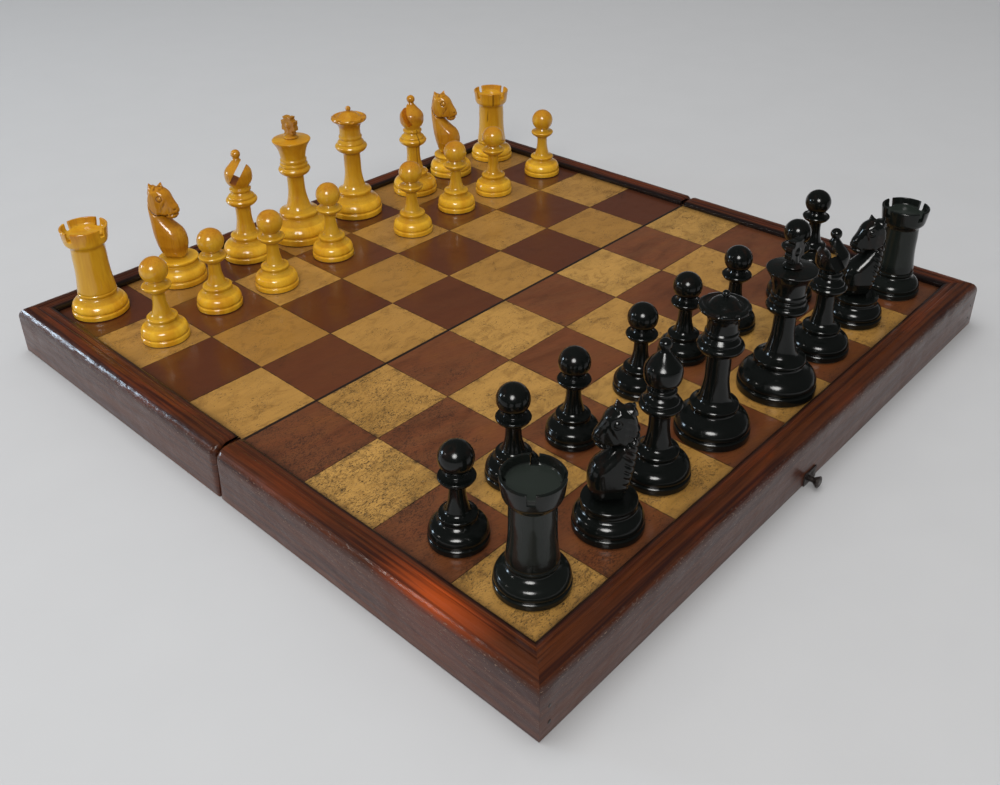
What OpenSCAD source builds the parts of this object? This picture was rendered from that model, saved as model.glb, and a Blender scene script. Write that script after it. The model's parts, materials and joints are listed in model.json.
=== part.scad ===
// Folding games compendium box: a moulded board for chess and draughts outside, a backgammon
// table inside, and the set of Staunton pattern chessmen that lives in it.
// The box lies open here, board up, with its trays facing the table. The far half (white's side)
// folds down and under the near half (black's side) about the hinge line, y = 0.

/* [Board] */
// Side of one full square of the board
square = 50; // [44:1:54]
// How much of each outermost square the moulded lip hides
lip_cover = 2; // [1:0.5:5]
// Gap between neighbouring squares, filled with glue
glue_line = 0.12; // [0.05:0.01:0.3]
// Thickness of the veneer squares and of the backgammon points
veneer_t = 0.8; // [0.6:0.1:1.2]
// Thickness of the board panel that the veneer lies on
panel_t = 4; // [3:0.5:5]

/* [Rails] */
// Width of the moulded rail, seen from above
rail_w = 17; // [15:1:22]
// Thickness of the rail's wall under the moulded lip
wall_t = 12; // [9:1:12]
// Height of the playing surface above the rim of the box
field_h = 27; // [25:1:34]
// Height of the lip above the playing surface
lip_h = 4.2; // [3:0.2:6]
// Radius of the rounded outer edge
round_r = 7; // [3:0.5:8]
// Depth of the groove that holds the panel
groove_d = 3; // [2:0.5:4]
// Thickness of the thin rail along the seam of each half
centre_t = 8; // [8:1:10]
// Gap between the two halves at the seam
seam_gap = 0.8; // [0.6:0.1:1.2]

/* [Hinges] */
// Outside diameter of the hinge knuckles
knuckle_d = 3.2; // [3:0.1:3.6]
// Diameter of the hinge pins
pin_d = 1.6; // [1.4:0.1:1.8]
// Length of each hinge
hinge_len = 44; // [36:1:56]
// Distance of each hinge from the middle of the seam
hinge_x = 120; // [90:5:130]
// Thickness of the hinge leaves
leaf_t = 1.1; // [0.8:0.1:1.2]

/* [Latch] */
// Distance of the latch from the middle of the end rail
latch_x = -5; // [-20:1:20]
// Height of the latch stud above the rim
stud_z = 4.6; // [4:0.2:6]
// How far the stud and the hook's knob stand out
stud_out = 7.5; // [6.6:0.1:9]
// Distance from the hook's pivot to the stud when the box is closed
hook_reach = 18; // [16:0.5:20]

/* [Chessmen] */
// Size of all the chessmen against the measured set
men_scale = 1; // [0.8:0.05:1]
// Heading of the white knights, in degrees from the x axis
white_heading = -58; // [-180:1:180]
// Heading of the black knights, in degrees from the x axis
black_heading = 138; // [-180:1:180]
// Width of the cut in the bishops' mitres
mitre_cut = 1.4; // [0.8:0.1:2]
// Width of the cut in the two bishops whose mitres are chipped open
open_cut = 4.2; // [2:0.2:5]
// Number of points on the queens' coronets
coronet_points = 9; // [7:1:11]

/* [Hidden] */
$fn = 64;
half = 4 * square - lip_cover + rail_w;
pivot_z = knuckle_d / 2;
closed_gap = 0.3;
rim = pivot_z + closed_gap / 2;
under = field_h - veneer_t - panel_t;
field = rim + field_h;
panel_in = wall_t - groove_d + 0.3;
seam = seam_gap / 2;
tray_x = half - wall_t;
tray_y = half - wall_t;
point_l = 0.82 * tray_x;
point_w = (tray_y - seam - centre_t) / 6;
leaf_w = centre_t - 0.6;
running = 0.05;
mahogany = [0.28, 0.1, 0.06];
dark_wood = [0.42, 0.17, 0.09];
light_wood = [0.76, 0.56, 0.28];
pine = [0.66, 0.47, 0.28];
brass = [0.72, 0.56, 0.28];
boxwood = [0.83, 0.63, 0.3];
ebony = [0.05, 0.045, 0.045];
// how far each man stands off the centre of its square, from file a to file h
white_back_x = [-2.5, 4.5, 5.5, -0.5, 3.5, 11, 6.5, 5];
white_back_y = [5, 4.5, 1, -0.5, 3, -0.5, 5.5, 5];
white_pawn_x = [7, 1, -8.5, -5.5, 8, 8, -0.5, 4.5];
white_pawn_y = [-4.5, 4.5, 0, 7.5, -5, 0.5, 1, -1.5];
black_back_x = [1.5, 1.5, -4.5, -6, 2, 3, 0.5, 0.5];
black_back_y = [0, -1.5, 3.5, 3, -1, 0.5, 2.5, 1];
black_pawn_x = [0.5, -1, -7.5, 0.5, -4.5, -7, -1, -0.5];
black_pawn_y = [-7.5, 3.5, 2.5, 3.5, 5.5, 2, -5.5, 7];

// Cross-section of a moulded rail, x inwards from the outer face and y up from the rim
module rail_section() {
    top = field_h + lip_h;
    polygon([[0, 0], [wall_t, 0], [wall_t, under], [wall_t - groove_d, under],
        [wall_t - groove_d, field_h], [rail_w, field_h], [rail_w - 0.6, top - 0.5],
        [rail_w - 7, top - 0.2], [rail_w - 7.4, top], [round_r, top], [0, top - round_r]]);
    intersection() {
        translate([round_r, top - round_r]) circle(round_r);
        translate([0, top - round_r]) square(round_r);
    }
}

module nail(length) {
    rotate([180, 0, 0]) {
        cylinder(h = 0.7, r = 1.1);
        cylinder(h = length, r = 0.6);
    }
}

// The nails through the side rails into the centre rail, and through the corners
module nails() {
    for (side = [-1, 1]) {
        for (z = [5, 16])
            translate([side * half, -seam - centre_t / 2, rim + z])
                rotate([0, side * 90, 0]) nail(wall_t + 14);
        for (z = [7, 16])
            translate([side * (half - wall_t / 2), -half, rim + z]) rotate([90, 0, 0]) nail(26);
    }
}

module end_rail() {
    difference() {
        intersection() {
            translate([-half, -half, rim]) rotate([90, 0, 90]) linear_extrude(2 * half)
                rail_section();
            linear_extrude(100) polygon([[-half, -half], [half, -half],
                [half - rail_w, rail_w - half], [rail_w - half, rail_w - half]]);
        }
        nails();
    }
}

module side_rail() {
    difference() {
        intersection() {
            translate([-half, -seam, rim]) rotate([90, 0, 0]) linear_extrude(half - seam)
                rail_section();
            linear_extrude(100) polygon([[-half, -half], [-half, -seam],
                [rail_w - half, -seam], [rail_w - half, rail_w - half]]);
        }
        nails();
    }
}

module centre_rail() {
    difference() {
        translate([-tray_x, -seam - centre_t, rim]) cube([2 * tray_x, centre_t, under]);
        nails();
        for (side = [-1, 1]) translate([side * hinge_x, 0, 0]) {
            translate([-hinge_len / 2, -seam - leaf_w, rim])
                cube([hinge_len, leaf_w + seam, leaf_t]);
            translate([-hinge_len / 2 - 0.3, 0, pivot_z]) rotate([0, 90, 0])
                cylinder(h = hinge_len + 0.6, r = pivot_z + 0.4);
        }
        hinge_screws();
    }
}

// The backgammon points of one half; parity 0 gives the light ones and 1 the dark ones
module points(parity) {
    for (side = [0, 1], k = [0:5]) if ((side + k) % 2 == parity) mirror([side, 0, 0])
        translate([-tray_x, -tray_y + k * point_w, rim + under]) linear_extrude(veneer_t)
            polygon([[0, 0.4], [0, point_w - 0.4], [point_l, point_w / 2]]);
}

module panel() {
    edge = half - panel_in;
    difference() {
        translate([-edge, -edge, rim + under]) cube([2 * edge, edge - seam, panel_t]);
        points(0);
        points(1);
    }
}

// The veneer squares of one half; those along the rails run on under the lip
module squares(parity) {
    edge = half - panel_in;
    for (i = [0:7], j = [0:3]) if ((i + j) % 2 == parity) {
        x0 = i == 0 ? -edge : (i - 4) * square + glue_line / 2;
        x1 = i == 7 ? edge : (i - 3) * square - glue_line / 2;
        y0 = j == 0 ? -edge : (j - 4) * square + glue_line / 2;
        y1 = j == 3 ? -seam : (j - 3) * square - glue_line / 2;
        translate([x0, y0, field - veneer_t]) cube([x1 - x0, y1 - y0, veneer_t]);
    }
}

// A turned profile: each step is radius, height and how far the line there bows outwards
function bow(p, q, b) = let (d = q - p, l = norm(d))
    [for (i = [1:6]) p + d * i / 6 + b * sin(30 * i) * [d[1], -d[0]] / l];
function turned(s) = [for (i = [0:len(s) - 1]) each (len(s[i]) < 3 ? [s[i]]
    : bow([s[i - 1][0], s[i - 1][1]], [s[i][0], s[i][1]], s[i][2]))];
module lathe(s) {
    rotate_extrude()
        polygon(concat([[0, s[0][1]]], turned(s), [[0, s[len(s) - 1][1]]]));
}

// The foot that all the men share: a disc, a quirk, a squat bell and a flared ring of radius s
function foot(r, s, h) = [[r - 0.5, 0], [r, 0.5], [r, 0.2 * h], [r - 0.45, 0.235 * h],
    [0.945 * r, 0.245 * h], [0.95 * r, 0.265 * h], [0.98 * r, 0.31 * h],
    [0.965 * r, 0.42 * h, 0.1], [0.79 * r, 0.63 * h, 0.45], [0.95 * s, 0.75 * h, -0.25],
    [0.93 * s, 0.8 * h], [s - 0.15, 0.85 * h], [s, 0.88 * h], [s, 0.92 * h], [s - 0.4, 0.95 * h]];

module pawn() {
    lathe(concat(foot(14.1, 9, 16), [[6.2, 16.2, -0.2], [5.3, 18, -0.15], [3.8, 28.5, -0.45],
        [3.9, 31], [6.4, 32.2, 0.3], [8.5, 34.4, 0.3], [8.7, 35], [8.3, 35.7],
        [5.2, 36.8, -0.4], [4.6, 38.2]]));
    translate([0, 0, 44.8]) sphere(8.15);
}

module rook() {
    difference() {
        lathe(concat(foot(17, 11.7, 16), [[11.5, 16.2], [10.2, 38, -0.5], [10, 44.6], [10.7, 46.2],
            [12.4, 47.8], [12.9, 49.2], [14, 57.6], [13.7, 58], [12.5, 58], [12, 54.2],
            [11.4, 53.4], [6, 53.6], [0, 53.8]]));
        for (a = [0, 90, 180, 270]) rotate([0, 0, a]) translate([10.8, -1.8, 52.2])
            cube([10, 3.6, 20]);
    }
}

// Side view of the knight's carved head and neck, nose towards +x
module knight_outline() {
    polygon(concat([[7, 16]], bow([7, 16], [8.2, 30.4], 1), bow([8.2, 30.4], [-4.7, 46.6], -0.6),
        [[-1.4, 45], [2.2, 43.8], [4.6, 45], [5.7, 47.2], [4.9, 47.6], [6.3, 48.2], [6.7, 50],
        [5.8, 53]], bow([5.8, 53], [-1.4, 63.6], 0.5), [[-2.6, 64.6], [-3.8, 69], [-5.6, 66.4],
        [-7, 65], [-8.8, 65.8], [-11.2, 68.4], [-12.2, 64.6]], bow([-12.2, 64.6], [-14, 43], 1.4),
        bow([-14, 43], [-9.6, 19], 0.6), [[-8.4, 16]]));
}

module knight() {
    lathe(concat(foot(16.7, 13, 17.5), [[9.4, 16.8], [8.6, 16.4]]));
    difference() {
        intersection() {
            rotate([90, 0, 0]) linear_extrude(24, center = true) knight_outline();
            rotate([90, 0, 90]) linear_extrude(60, center = true)
                polygon(concat([[-7.8, 16], [7.8, 16]], bow([7.8, 16], [6.6, 42], 1),
                    [[5.4, 49], [5.4, 57], [4.6, 63], [4.8, 69], [2, 67.4], [0, 63], [-2, 67.4],
                    [-4.8, 69], [-4.6, 63], [-5.4, 57], [-5.4, 49], [-6.6, 42]],
                    bow([-6.6, 42], [-7.8, 16], 1)));
            translate([1, 0, 15]) rotate([0, -13, 0]) lathe([[9.2, -2], [10.4, 12], [10.2, 22],
                [15.6, 32], [15.6, 44], [9, 57]]);
        }
        // nostrils, eyes and the cuts between the locks of the mane
        for (side = [-1, 1]) {
            translate([4.9, side * 4.4, 50]) sphere(0.9);
            translate([-3.2, side * 5.7, 58.4]) sphere(1.2);
            for (k = [0:5]) translate([-14.4, side * 4.4, 62 - 5 * k])
                rotate([side * 24, 28, 0]) cylinder(h = 9, r = 0.8, center = true);
        }
    }
}

// A bishop: the slit of a sound mitre is narrow, and the chipped ones are cut open wide
module bishop(cut) {
    difference() {
        union() {
            lathe(concat(foot(17, 10.6, 17.5), [[7.4, 18.2, -0.2], [6.5, 20.4, -0.2],
                [5.1, 33.5, -0.5], [5.2, 37], [7.6, 38.4, 0.2], [10.3, 41, 0.4], [10.5, 42],
                [9.9, 43], [8.7, 43.5], [8.3, 45.2, 0.3], [6.2, 47.6, -0.2], [7.1, 48.8],
                [7.1, 50], [6, 50.8], [6.4, 52], [9.1, 58.6, 0.8], [6.6, 65.2, 0.9],
                [2.5, 70, -0.1], [2.1, 71.2]]));
            translate([0, 0, 73.6]) sphere(3.1);
        }
        translate([-3.1, 0, 55]) rotate([0, 31, 0]) translate([-cut / 2, -12, 0])
            cube([cut, 24, 20]);
    }
}

module queen() {
    difference() {
        union() {
            lathe(concat(foot(19.4, 12.4, 19.5), [[8.8, 20.4, -0.2], [7.6, 23.6, -0.2],
                [6.2, 37, -0.5], [6.1, 46.6], [8.5, 48.2, 0.2], [11.4, 50.8, 0.4], [11.8, 52],
                [11.2, 53.2], [9.6, 54], [9.2, 56, 0.3], [7.9, 57.6], [8.5, 58.6], [8.4, 59.8],
                [7.7, 60.6], [7.5, 65.4], [8.2, 67.4], [12.1, 72.6, -0.3], [12.4, 73.4],
                [11.5, 73.4], [8, 70.2], [7.1, 70.4], [6.4, 73.4, 0.4], [2, 77.6, 0.9],
                [1.4, 78.2]]));
            translate([0, 0, 79.8]) sphere(1.9);
        }
        for (i = [0:coronet_points - 1]) rotate([0, 0, 360 * i / coronet_points])
            translate([13.4, 0, 74.2]) sphere(2.7);
    }
}

// One arm of the king's cross, pointing up from its middle
module cross_arm() {
    polygon([[-1.3, 0], [1.3, 0], [3.1, 5.2], [2.6, 6.4], [-2.6, 6.4], [-3.1, 5.2]]);
}

module king() {
    lathe(concat(foot(21.2, 13.8, 21.5), [[9.2, 22.4, -0.2], [7.6, 26.4, -0.2], [5.9, 40, -0.5],
        [5.8, 46.4], [8.2, 47.6, 0.2], [10.8, 50.2, 0.4], [11.1, 51.2], [10.5, 52.4], [9.2, 53],
        [9.6, 54], [9.6, 55.2], [8.6, 56], [9.1, 57.2], [9.1, 58.4], [8.5, 59.2],
        [9.1, 62.8], [12.9, 71.4, -0.5], [13.2, 72.2], [12.8, 72.7], [4, 73.4],
        [3.7, 75.2, 0.3], [2.6, 76.4]]));
    translate([0, 0, 82.4]) {
        for (a = [0, 90, 180, 270]) rotate([0, a, 0]) rotate([90, 0, 0])
            linear_extrude(3.4, center = true) cross_arm();
        sphere(2.4);
    }
}

module stand(file, rank, dx, dy) {
    translate([(file - 3.5) * square + dx, (rank - 3.5) * square + dy, field])
        scale(men_scale) children();
}
module white_back(file) {
    color(boxwood) stand(file, 7, white_back_x[file], white_back_y[file]) children();
}
module black_back(file) {
    color(ebony) stand(file, 0, black_back_x[file], black_back_y[file]) children();
}
module white_pawn(file) {
    color(boxwood) stand(file, 6, white_pawn_x[file], white_pawn_y[file]) pawn();
}
module black_pawn(file) {
    color(ebony) stand(file, 1, black_pawn_x[file], black_pawn_y[file]) pawn();
}

// One leaf of each hinge with its knuckles; the near leaves carry the outer two
module hinge_leaves(outer) {
    third = hinge_len / 3;
    spans = outer ? [[-hinge_len / 2, third - 0.15], [third / 2 + 0.15, third - 0.15]]
        : [[0.15 - third / 2, third - 0.3]];
    bore = pin_d / 2 + (outer ? 0.02 : running);
    for (side = [-1, 1]) translate([side * hinge_x, 0, 0]) difference() {
        union() {
            translate([-hinge_len / 2, -seam - leaf_w, rim])
                cube([hinge_len, leaf_w + seam - pivot_z - 0.6, leaf_t]);
            for (s = spans) translate([s[0], 0, 0]) {
                translate([0, 0, pivot_z]) rotate([0, 90, 0]) cylinder(h = s[1], r = pivot_z);
                translate([0, -pivot_z - 1, rim]) cube([s[1], pivot_z + 0.1, leaf_t]);
            }
        }
        translate([-hinge_len, 0, pivot_z]) rotate([0, 90, 0])
            cylinder(h = 2 * hinge_len, r = bore);
        translate([-side * hinge_x, 0, 0]) hinge_screws();
    }
}

module hinge_screws() {
    for (side = [-1, 1], x = [-16, 16]) translate([side * hinge_x + x, -seam - leaf_w / 2 - 0.8, rim]) {
        cylinder(h = 0.9, r1 = 1.7, r2 = 0.9);
        cylinder(h = 9, r = 0.9);
    }
}

// A turned stud with a flared head: y is out of the rail here, and the shank runs into it
module flared_stud(collar) {
    rotate([90, 0, 0]) rotate_extrude() polygon([[0, -11], [0.4, -11], [1.3, -8.5], [1.3, 0],
        [collar, 0], [collar, collar > 1.5 ? 0.9 : 0], [1.5, collar > 1.5 ? 0.9 : 0],
        [1.5, stud_out - 3.4], [3.3, stud_out - 0.9], [3.3, stud_out - 0.5], [2.4, stud_out],
        [0, stud_out]]);
}

module stud_plate() {
    difference() {
        translate([-3, -0.8, -stud_z]) cube([12, 0.8, stud_z + 2.6]);
        rotate([90, 0, 0]) cylinder(h = 3, r = 1.6, center = true);
    }
}

// The hook, drawn lying along +x from its pivot, with the mouth that takes the stud below
module hook_outline() {
    difference() {
        union() {
            circle(4);
            translate([0, -2.3]) square([hook_reach, 4.6]);
            translate([hook_reach, 0]) circle(4.4);
            translate([hook_reach, 1.2]) square([8, 2.6]);
            translate([hook_reach + 8, 2.5]) circle(1.3);
        }
        circle(1.5 + running);
        translate([hook_reach, 0]) circle(1.9);
        intersection() {
            difference() {
                circle(hook_reach + 1.9);
                circle(hook_reach - 1.9);
            }
            polygon([[0, 0], [2 * hook_reach, 0], [2 * hook_reach, -hook_reach]]);
        }
    }
}

module near_end_rail() {
    color(mahogany) difference() {
        end_rail();
        latch_stud();
    }
}
module near_left_rail() { color(mahogany) side_rail(); }
module near_right_rail() { color(mahogany) mirror([1, 0, 0]) side_rail(); }
module near_centre_rail() { color(mahogany) centre_rail(); }
module near_panel() { color(pine) panel(); }
module near_light_squares() { color(light_wood) squares(0); }
module near_dark_squares() { color(dark_wood) squares(1); }
module near_light_points() { color(light_wood) points(0); }
module near_dark_points() { color(dark_wood) points(1); }
module near_nails() { color("dimgray") nails(); }
module far_end_rail() {
    color(mahogany) difference() {
        mirror([0, 1, 0]) end_rail();
        hook_knob();
    }
}
module far_left_rail() { color(mahogany) mirror([0, 1, 0]) side_rail(); }
module far_right_rail() { color(mahogany) mirror([1, 0, 0]) mirror([0, 1, 0]) side_rail(); }
module far_centre_rail() { color(mahogany) mirror([0, 1, 0]) centre_rail(); }
module far_panel() { color(pine) mirror([0, 1, 0]) panel(); }
module far_light_squares() { color(light_wood) mirror([0, 1, 0]) squares(1); }
module far_dark_squares() { color(dark_wood) mirror([0, 1, 0]) squares(0); }
module far_light_points() { color(light_wood) mirror([0, 1, 0]) points(1); }
module far_dark_points() { color(dark_wood) mirror([0, 1, 0]) points(0); }
module far_nails() { color("dimgray") mirror([0, 1, 0]) nails(); }
module near_hinge_leaves() { color(brass) hinge_leaves(true); }
module far_hinge_leaves() { color(brass) mirror([0, 1, 0]) hinge_leaves(false); }
module hinge_pins() {
    color("gray") for (side = [-1, 1]) translate([side * hinge_x - hinge_len / 2, 0, pivot_z])
        rotate([0, 90, 0]) cylinder(h = hinge_len, r = pin_d / 2);
}
module near_hinge_screws() { color(brass) hinge_screws(); }
module far_hinge_screws() { color(brass) mirror([0, 1, 0]) hinge_screws(); }
module latch_stud() {
    translate([latch_x, -half, rim + stud_z]) {
        color("dimgray") flared_stud(1.3);
        color(brass) stud_plate();
    }
}
module hook_knob() {
    color(brass) translate([latch_x, half, rim + hook_reach - stud_z - closed_gap])
        mirror([0, 1, 0]) flared_stud(2.6);
}
module latch_hook() {
    color(brass) translate([latch_x, half + 2.6, rim + hook_reach - stud_z - closed_gap])
        rotate([90, 0, 0]) linear_extrude(1.6) hook_outline();
}
module white_rook_a() { white_back(0) rotate([0, 0, 22]) rook(); }
module white_knight_b() { white_back(1) rotate([0, 0, white_heading]) knight(); }
module white_bishop_c() { white_back(2) rotate([0, 0, -45]) bishop(open_cut); }
module white_king() { white_back(3) rotate([0, 0, 45]) king(); }
module white_queen() { white_back(4) queen(); }
module white_bishop_f() { white_back(5) rotate([0, 0, 150]) bishop(mitre_cut); }
module white_knight_g() { white_back(6) rotate([0, 0, white_heading]) knight(); }
module white_rook_h() { white_back(7) rotate([0, 0, -4]) rook(); }
module white_pawn_a() { white_pawn(0); }
module white_pawn_b() { white_pawn(1); }
module white_pawn_c() { white_pawn(2); }
module white_pawn_d() { white_pawn(3); }
module white_pawn_e() { white_pawn(4); }
module white_pawn_f() { white_pawn(5); }
module white_pawn_g() { white_pawn(6); }
module white_pawn_h() { white_pawn(7); }
module black_rook_a() { black_back(0) rotate([0, 0, 38]) rook(); }
module black_knight_b() { black_back(1) rotate([0, 0, black_heading]) knight(); }
module black_bishop_c() { black_back(2) rotate([0, 0, 60]) bishop(mitre_cut); }
module black_queen() { black_back(3) queen(); }
module black_king() { black_back(4) rotate([0, 0, -35]) king(); }
module black_bishop_f() { black_back(5) rotate([0, 0, 135]) bishop(open_cut); }
module black_knight_g() { black_back(6) rotate([0, 0, black_heading]) knight(); }
module black_rook_h() { black_back(7) rotate([0, 0, 66]) rook(); }
module black_pawn_a() { black_pawn(0); }
module black_pawn_b() { black_pawn(1); }
module black_pawn_c() { black_pawn(2); }
module black_pawn_d() { black_pawn(3); }
module black_pawn_e() { black_pawn(4); }
module black_pawn_f() { black_pawn(5); }
module black_pawn_g() { black_pawn(6); }
module black_pawn_h() { black_pawn(7); }

near_end_rail();
near_left_rail();
near_right_rail();
near_centre_rail();
near_panel();
near_light_squares();
near_dark_squares();
near_light_points();
near_dark_points();
near_nails();
far_end_rail();
far_left_rail();
far_right_rail();
far_centre_rail();
far_panel();
far_light_squares();
far_dark_squares();
far_light_points();
far_dark_points();
far_nails();
near_hinge_leaves();
far_hinge_leaves();
hinge_pins();
near_hinge_screws();
far_hinge_screws();
latch_stud();
latch_hook();
hook_knob();
white_rook_a();
white_knight_b();
white_bishop_c();
white_king();
white_queen();
white_bishop_f();
white_knight_g();
white_rook_h();
white_pawn_a();
white_pawn_b();
white_pawn_c();
white_pawn_d();
white_pawn_e();
white_pawn_f();
white_pawn_g();
white_pawn_h();
black_rook_a();
black_knight_b();
black_bishop_c();
black_queen();
black_king();
black_bishop_f();
black_knight_g();
black_rook_h();
black_pawn_a();
black_pawn_b();
black_pawn_c();
black_pawn_d();
black_pawn_e();
black_pawn_f();
black_pawn_g();
black_pawn_h();
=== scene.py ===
"""Looks of a folding games compendium box that lies open as a chessboard, with its chessmen."""

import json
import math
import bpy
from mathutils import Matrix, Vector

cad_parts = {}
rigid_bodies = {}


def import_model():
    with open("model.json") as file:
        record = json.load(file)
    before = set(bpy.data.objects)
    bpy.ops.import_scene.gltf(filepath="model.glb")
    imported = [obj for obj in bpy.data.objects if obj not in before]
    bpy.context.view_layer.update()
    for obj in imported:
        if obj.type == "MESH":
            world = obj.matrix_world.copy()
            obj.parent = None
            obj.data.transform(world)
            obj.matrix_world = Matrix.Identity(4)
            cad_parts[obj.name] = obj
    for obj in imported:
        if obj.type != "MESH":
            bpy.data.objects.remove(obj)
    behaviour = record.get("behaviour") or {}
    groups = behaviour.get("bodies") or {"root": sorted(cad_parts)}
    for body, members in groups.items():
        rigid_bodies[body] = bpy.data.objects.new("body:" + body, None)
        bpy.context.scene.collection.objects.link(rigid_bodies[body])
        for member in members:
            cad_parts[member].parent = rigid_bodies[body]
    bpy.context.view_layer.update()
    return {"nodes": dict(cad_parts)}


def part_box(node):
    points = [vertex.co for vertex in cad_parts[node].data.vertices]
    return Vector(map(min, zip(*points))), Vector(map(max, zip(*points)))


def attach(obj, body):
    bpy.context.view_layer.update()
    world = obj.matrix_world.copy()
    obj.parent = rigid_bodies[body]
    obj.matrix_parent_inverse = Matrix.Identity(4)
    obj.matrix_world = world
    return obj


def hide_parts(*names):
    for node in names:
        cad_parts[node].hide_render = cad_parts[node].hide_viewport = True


bl_info = {
    "name": "Games compendium box",
    "version": (1, 0, 0),
    "blender": (4, 5, 0),
    "location": "View3D > Sidebar > Games box",
    "description": "Dresses the folding games box: rails, veneer, hinges, latch and turned chessmen",
    "category": "Object",
}

import bmesh
import bpy
import numpy as np
from mathutils import Matrix, Vector, noise

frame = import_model()

MM = 0.001
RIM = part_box("near_end_rail")[0].z
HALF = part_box("near_end_rail")[1].x
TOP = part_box("near_end_rail")[1].z
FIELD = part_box("near_light_squares")[1].z
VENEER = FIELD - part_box("near_light_squares")[0].z
SEAM = -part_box("near_left_rail")[1].y
HALVES = (("near", -1), ("far", 1))
WOODS = {}

# Headings in degrees, each man turned as it stands in the photograph; a pawn's is its number's
HEADINGS = {
    "white_rook_a": 22, "white_rook_h": -4, "black_rook_a": 38, "black_rook_h": 66,
    "white_knight_b": -58, "white_knight_g": -58, "black_knight_b": 138, "black_knight_g": 138,
    "white_bishop_c": -45, "white_bishop_f": 108, "black_bishop_c": 60, "black_bishop_f": 135,
    "white_queen": 0, "black_queen": 0, "white_king": -75, "black_king": -8,
}
# Cracks along the grain: angle, lowest and highest point and half width, in millimetres
CRACKS = {
    "white_rook_h": [(-2.17, 46.4, 57.5, 0.3), (-2.61, 34, 44, 0.25), (-2.31, 22, 45, 0.2)],
    "white_bishop_f": [(2.62, 18, 51, 0.25)],
}
# From and to of a mitre's slot across, in millimetres; three of the four are opened wide
SLOTS = {"white_bishop_c": (-2.1, 2.1), "white_bishop_f": (-2.1, 2.1), "black_bishop_f": (-2.1, 3.4)}
SAW_CUT = (-0.7, 0.7)


# Sizes and colours


def metres(label, value, note):
    return bpy.props.FloatProperty(
        name=label, default=value, description=note, unit="LENGTH", precision=4
    )


def number(label, value, note):
    return bpy.props.FloatProperty(name=label, default=value, description=note)


def whole(label, value, note):
    return bpy.props.IntProperty(name=label, default=value, description=note)


def tint(label, value, note):
    return bpy.props.FloatVectorProperty(
        name=label, default=value, description=note, size=3, min=0, max=1, subtype="COLOR"
    )


class BoxSizes(bpy.types.PropertyGroup):
    """Sizes of the box's own woodwork"""

    square: metres("Square", 50 * MM, "Side of one square of the board")
    glue_line: metres("Glue line", 0.16 * MM, "Gap between neighbouring squares")
    lip_width: metres("Rail width", 17 * MM, "Width of a rail seen from above")
    wall: metres("Wall", 12 * MM, "Thickness of a rail's wall")
    rounding: metres("Rounding", 7 * MM, "Radius of the rails' outer edge")
    rail_end: metres("Worn rail end", 3.2 * MM, "How far the rails' ends at the seam are worn round")


class MenSizes(bpy.types.PropertyGroup):
    """Sizes shared by the chessmen"""

    size: number("Size", 1, "Size of the men, 1 as measured")
    baize: metres("Baize", 0.5 * MM, "Thickness of the baize under each man")
    steps: whole("Steps", 72, "Steps round a turned piece")
    coronet: whole("Coronet points", 9, "Points of a queen's coronet")
    carving: metres("Carving", 0.35 * MM, "Size of the finest facet on the carved heads")


class Finishes(bpy.types.PropertyGroup):
    """Colours of the woods and metals"""

    moulding: tint("Moulding", (0.078, 0.020, 0.0055), "Polished mahogany of the rails")
    moulding_dark: tint("Moulding grain", (0.024, 0.0062, 0.0040), "Dark streaks of the rails")
    moulding_warm: tint("Moulding glow", (0.27, 0.06, 0.007), "Orange places of the rails")
    light_veneer: tint("Light veneer", (0.46, 0.25, 0.06), "Light squares")
    dark_veneer: tint("Dark veneer", (0.175, 0.054, 0.018), "Dark squares")
    boxwood: tint("Boxwood", (0.79, 0.43, 0.022), "White men")
    honey: tint("Honey", (0.48, 0.175, 0.006), "Darker heads of the white men")
    ebony: tint("Ebony", (0.0032, 0.0038, 0.0035), "Black men")
    pine: tint("Pine", (0.36, 0.19, 0.08), "Inside of the trays")
    brass: tint("Brass", (0.45, 0.29, 0.10), "Hinges and latch")
    iron: tint("Iron", (0.09, 0.08, 0.075), "Nails, pins and stud")
    baize: tint("Baize", (0.025, 0.075, 0.03), "Cloth under the men")


class StageSettings(bpy.types.PropertyGroup):
    """Floor, lamps and camera"""

    floor: tint("Floor", (0.535, 0.535, 0.54), "Colour of the table top")
    key: number("Key lamp", 10.0, "Power of the key lamp in watts")
    side: number("Side lamp", 1.2, "Power of the small side lamp in watts")
    catch: number("Softbox", 24.0, "Power of the softbox in the polish of the men")
    top: number("Top lamp", 14.8, "Power of the top lamp in watts")
    window: number("Window", 6.5, "Power of the cool window lamp")
    ambient: number("Ambient", 0.51, "Strength of the pale room")
    mirrored: number("Mirrored room", 0.07, "Strength of the room in polish")


# Nodes


def put(tree, kind, settings=None, **sockets):
    """Adds a node; a socket given as i and a number is found by place, other words by name."""
    made = tree.nodes.new(kind)
    for name, value in (settings or {}).items():
        setattr(made, name, value)
    for name, value in sockets.items():
        key = int(name[1:]) if name[0] == "i" and name[1:].isdigit() else name.replace("_", " ")
        if isinstance(value, bpy.types.NodeSocket):
            tree.links.new(value, made.inputs[key])
        else:
            made.inputs[key].default_value = value
    return made


def shade(colour, *shares):
    """The colour times one share, or each of its channels times its own."""
    return tuple(v * k for v, k in zip(colour, shares * (3 // len(shares))))


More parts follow.
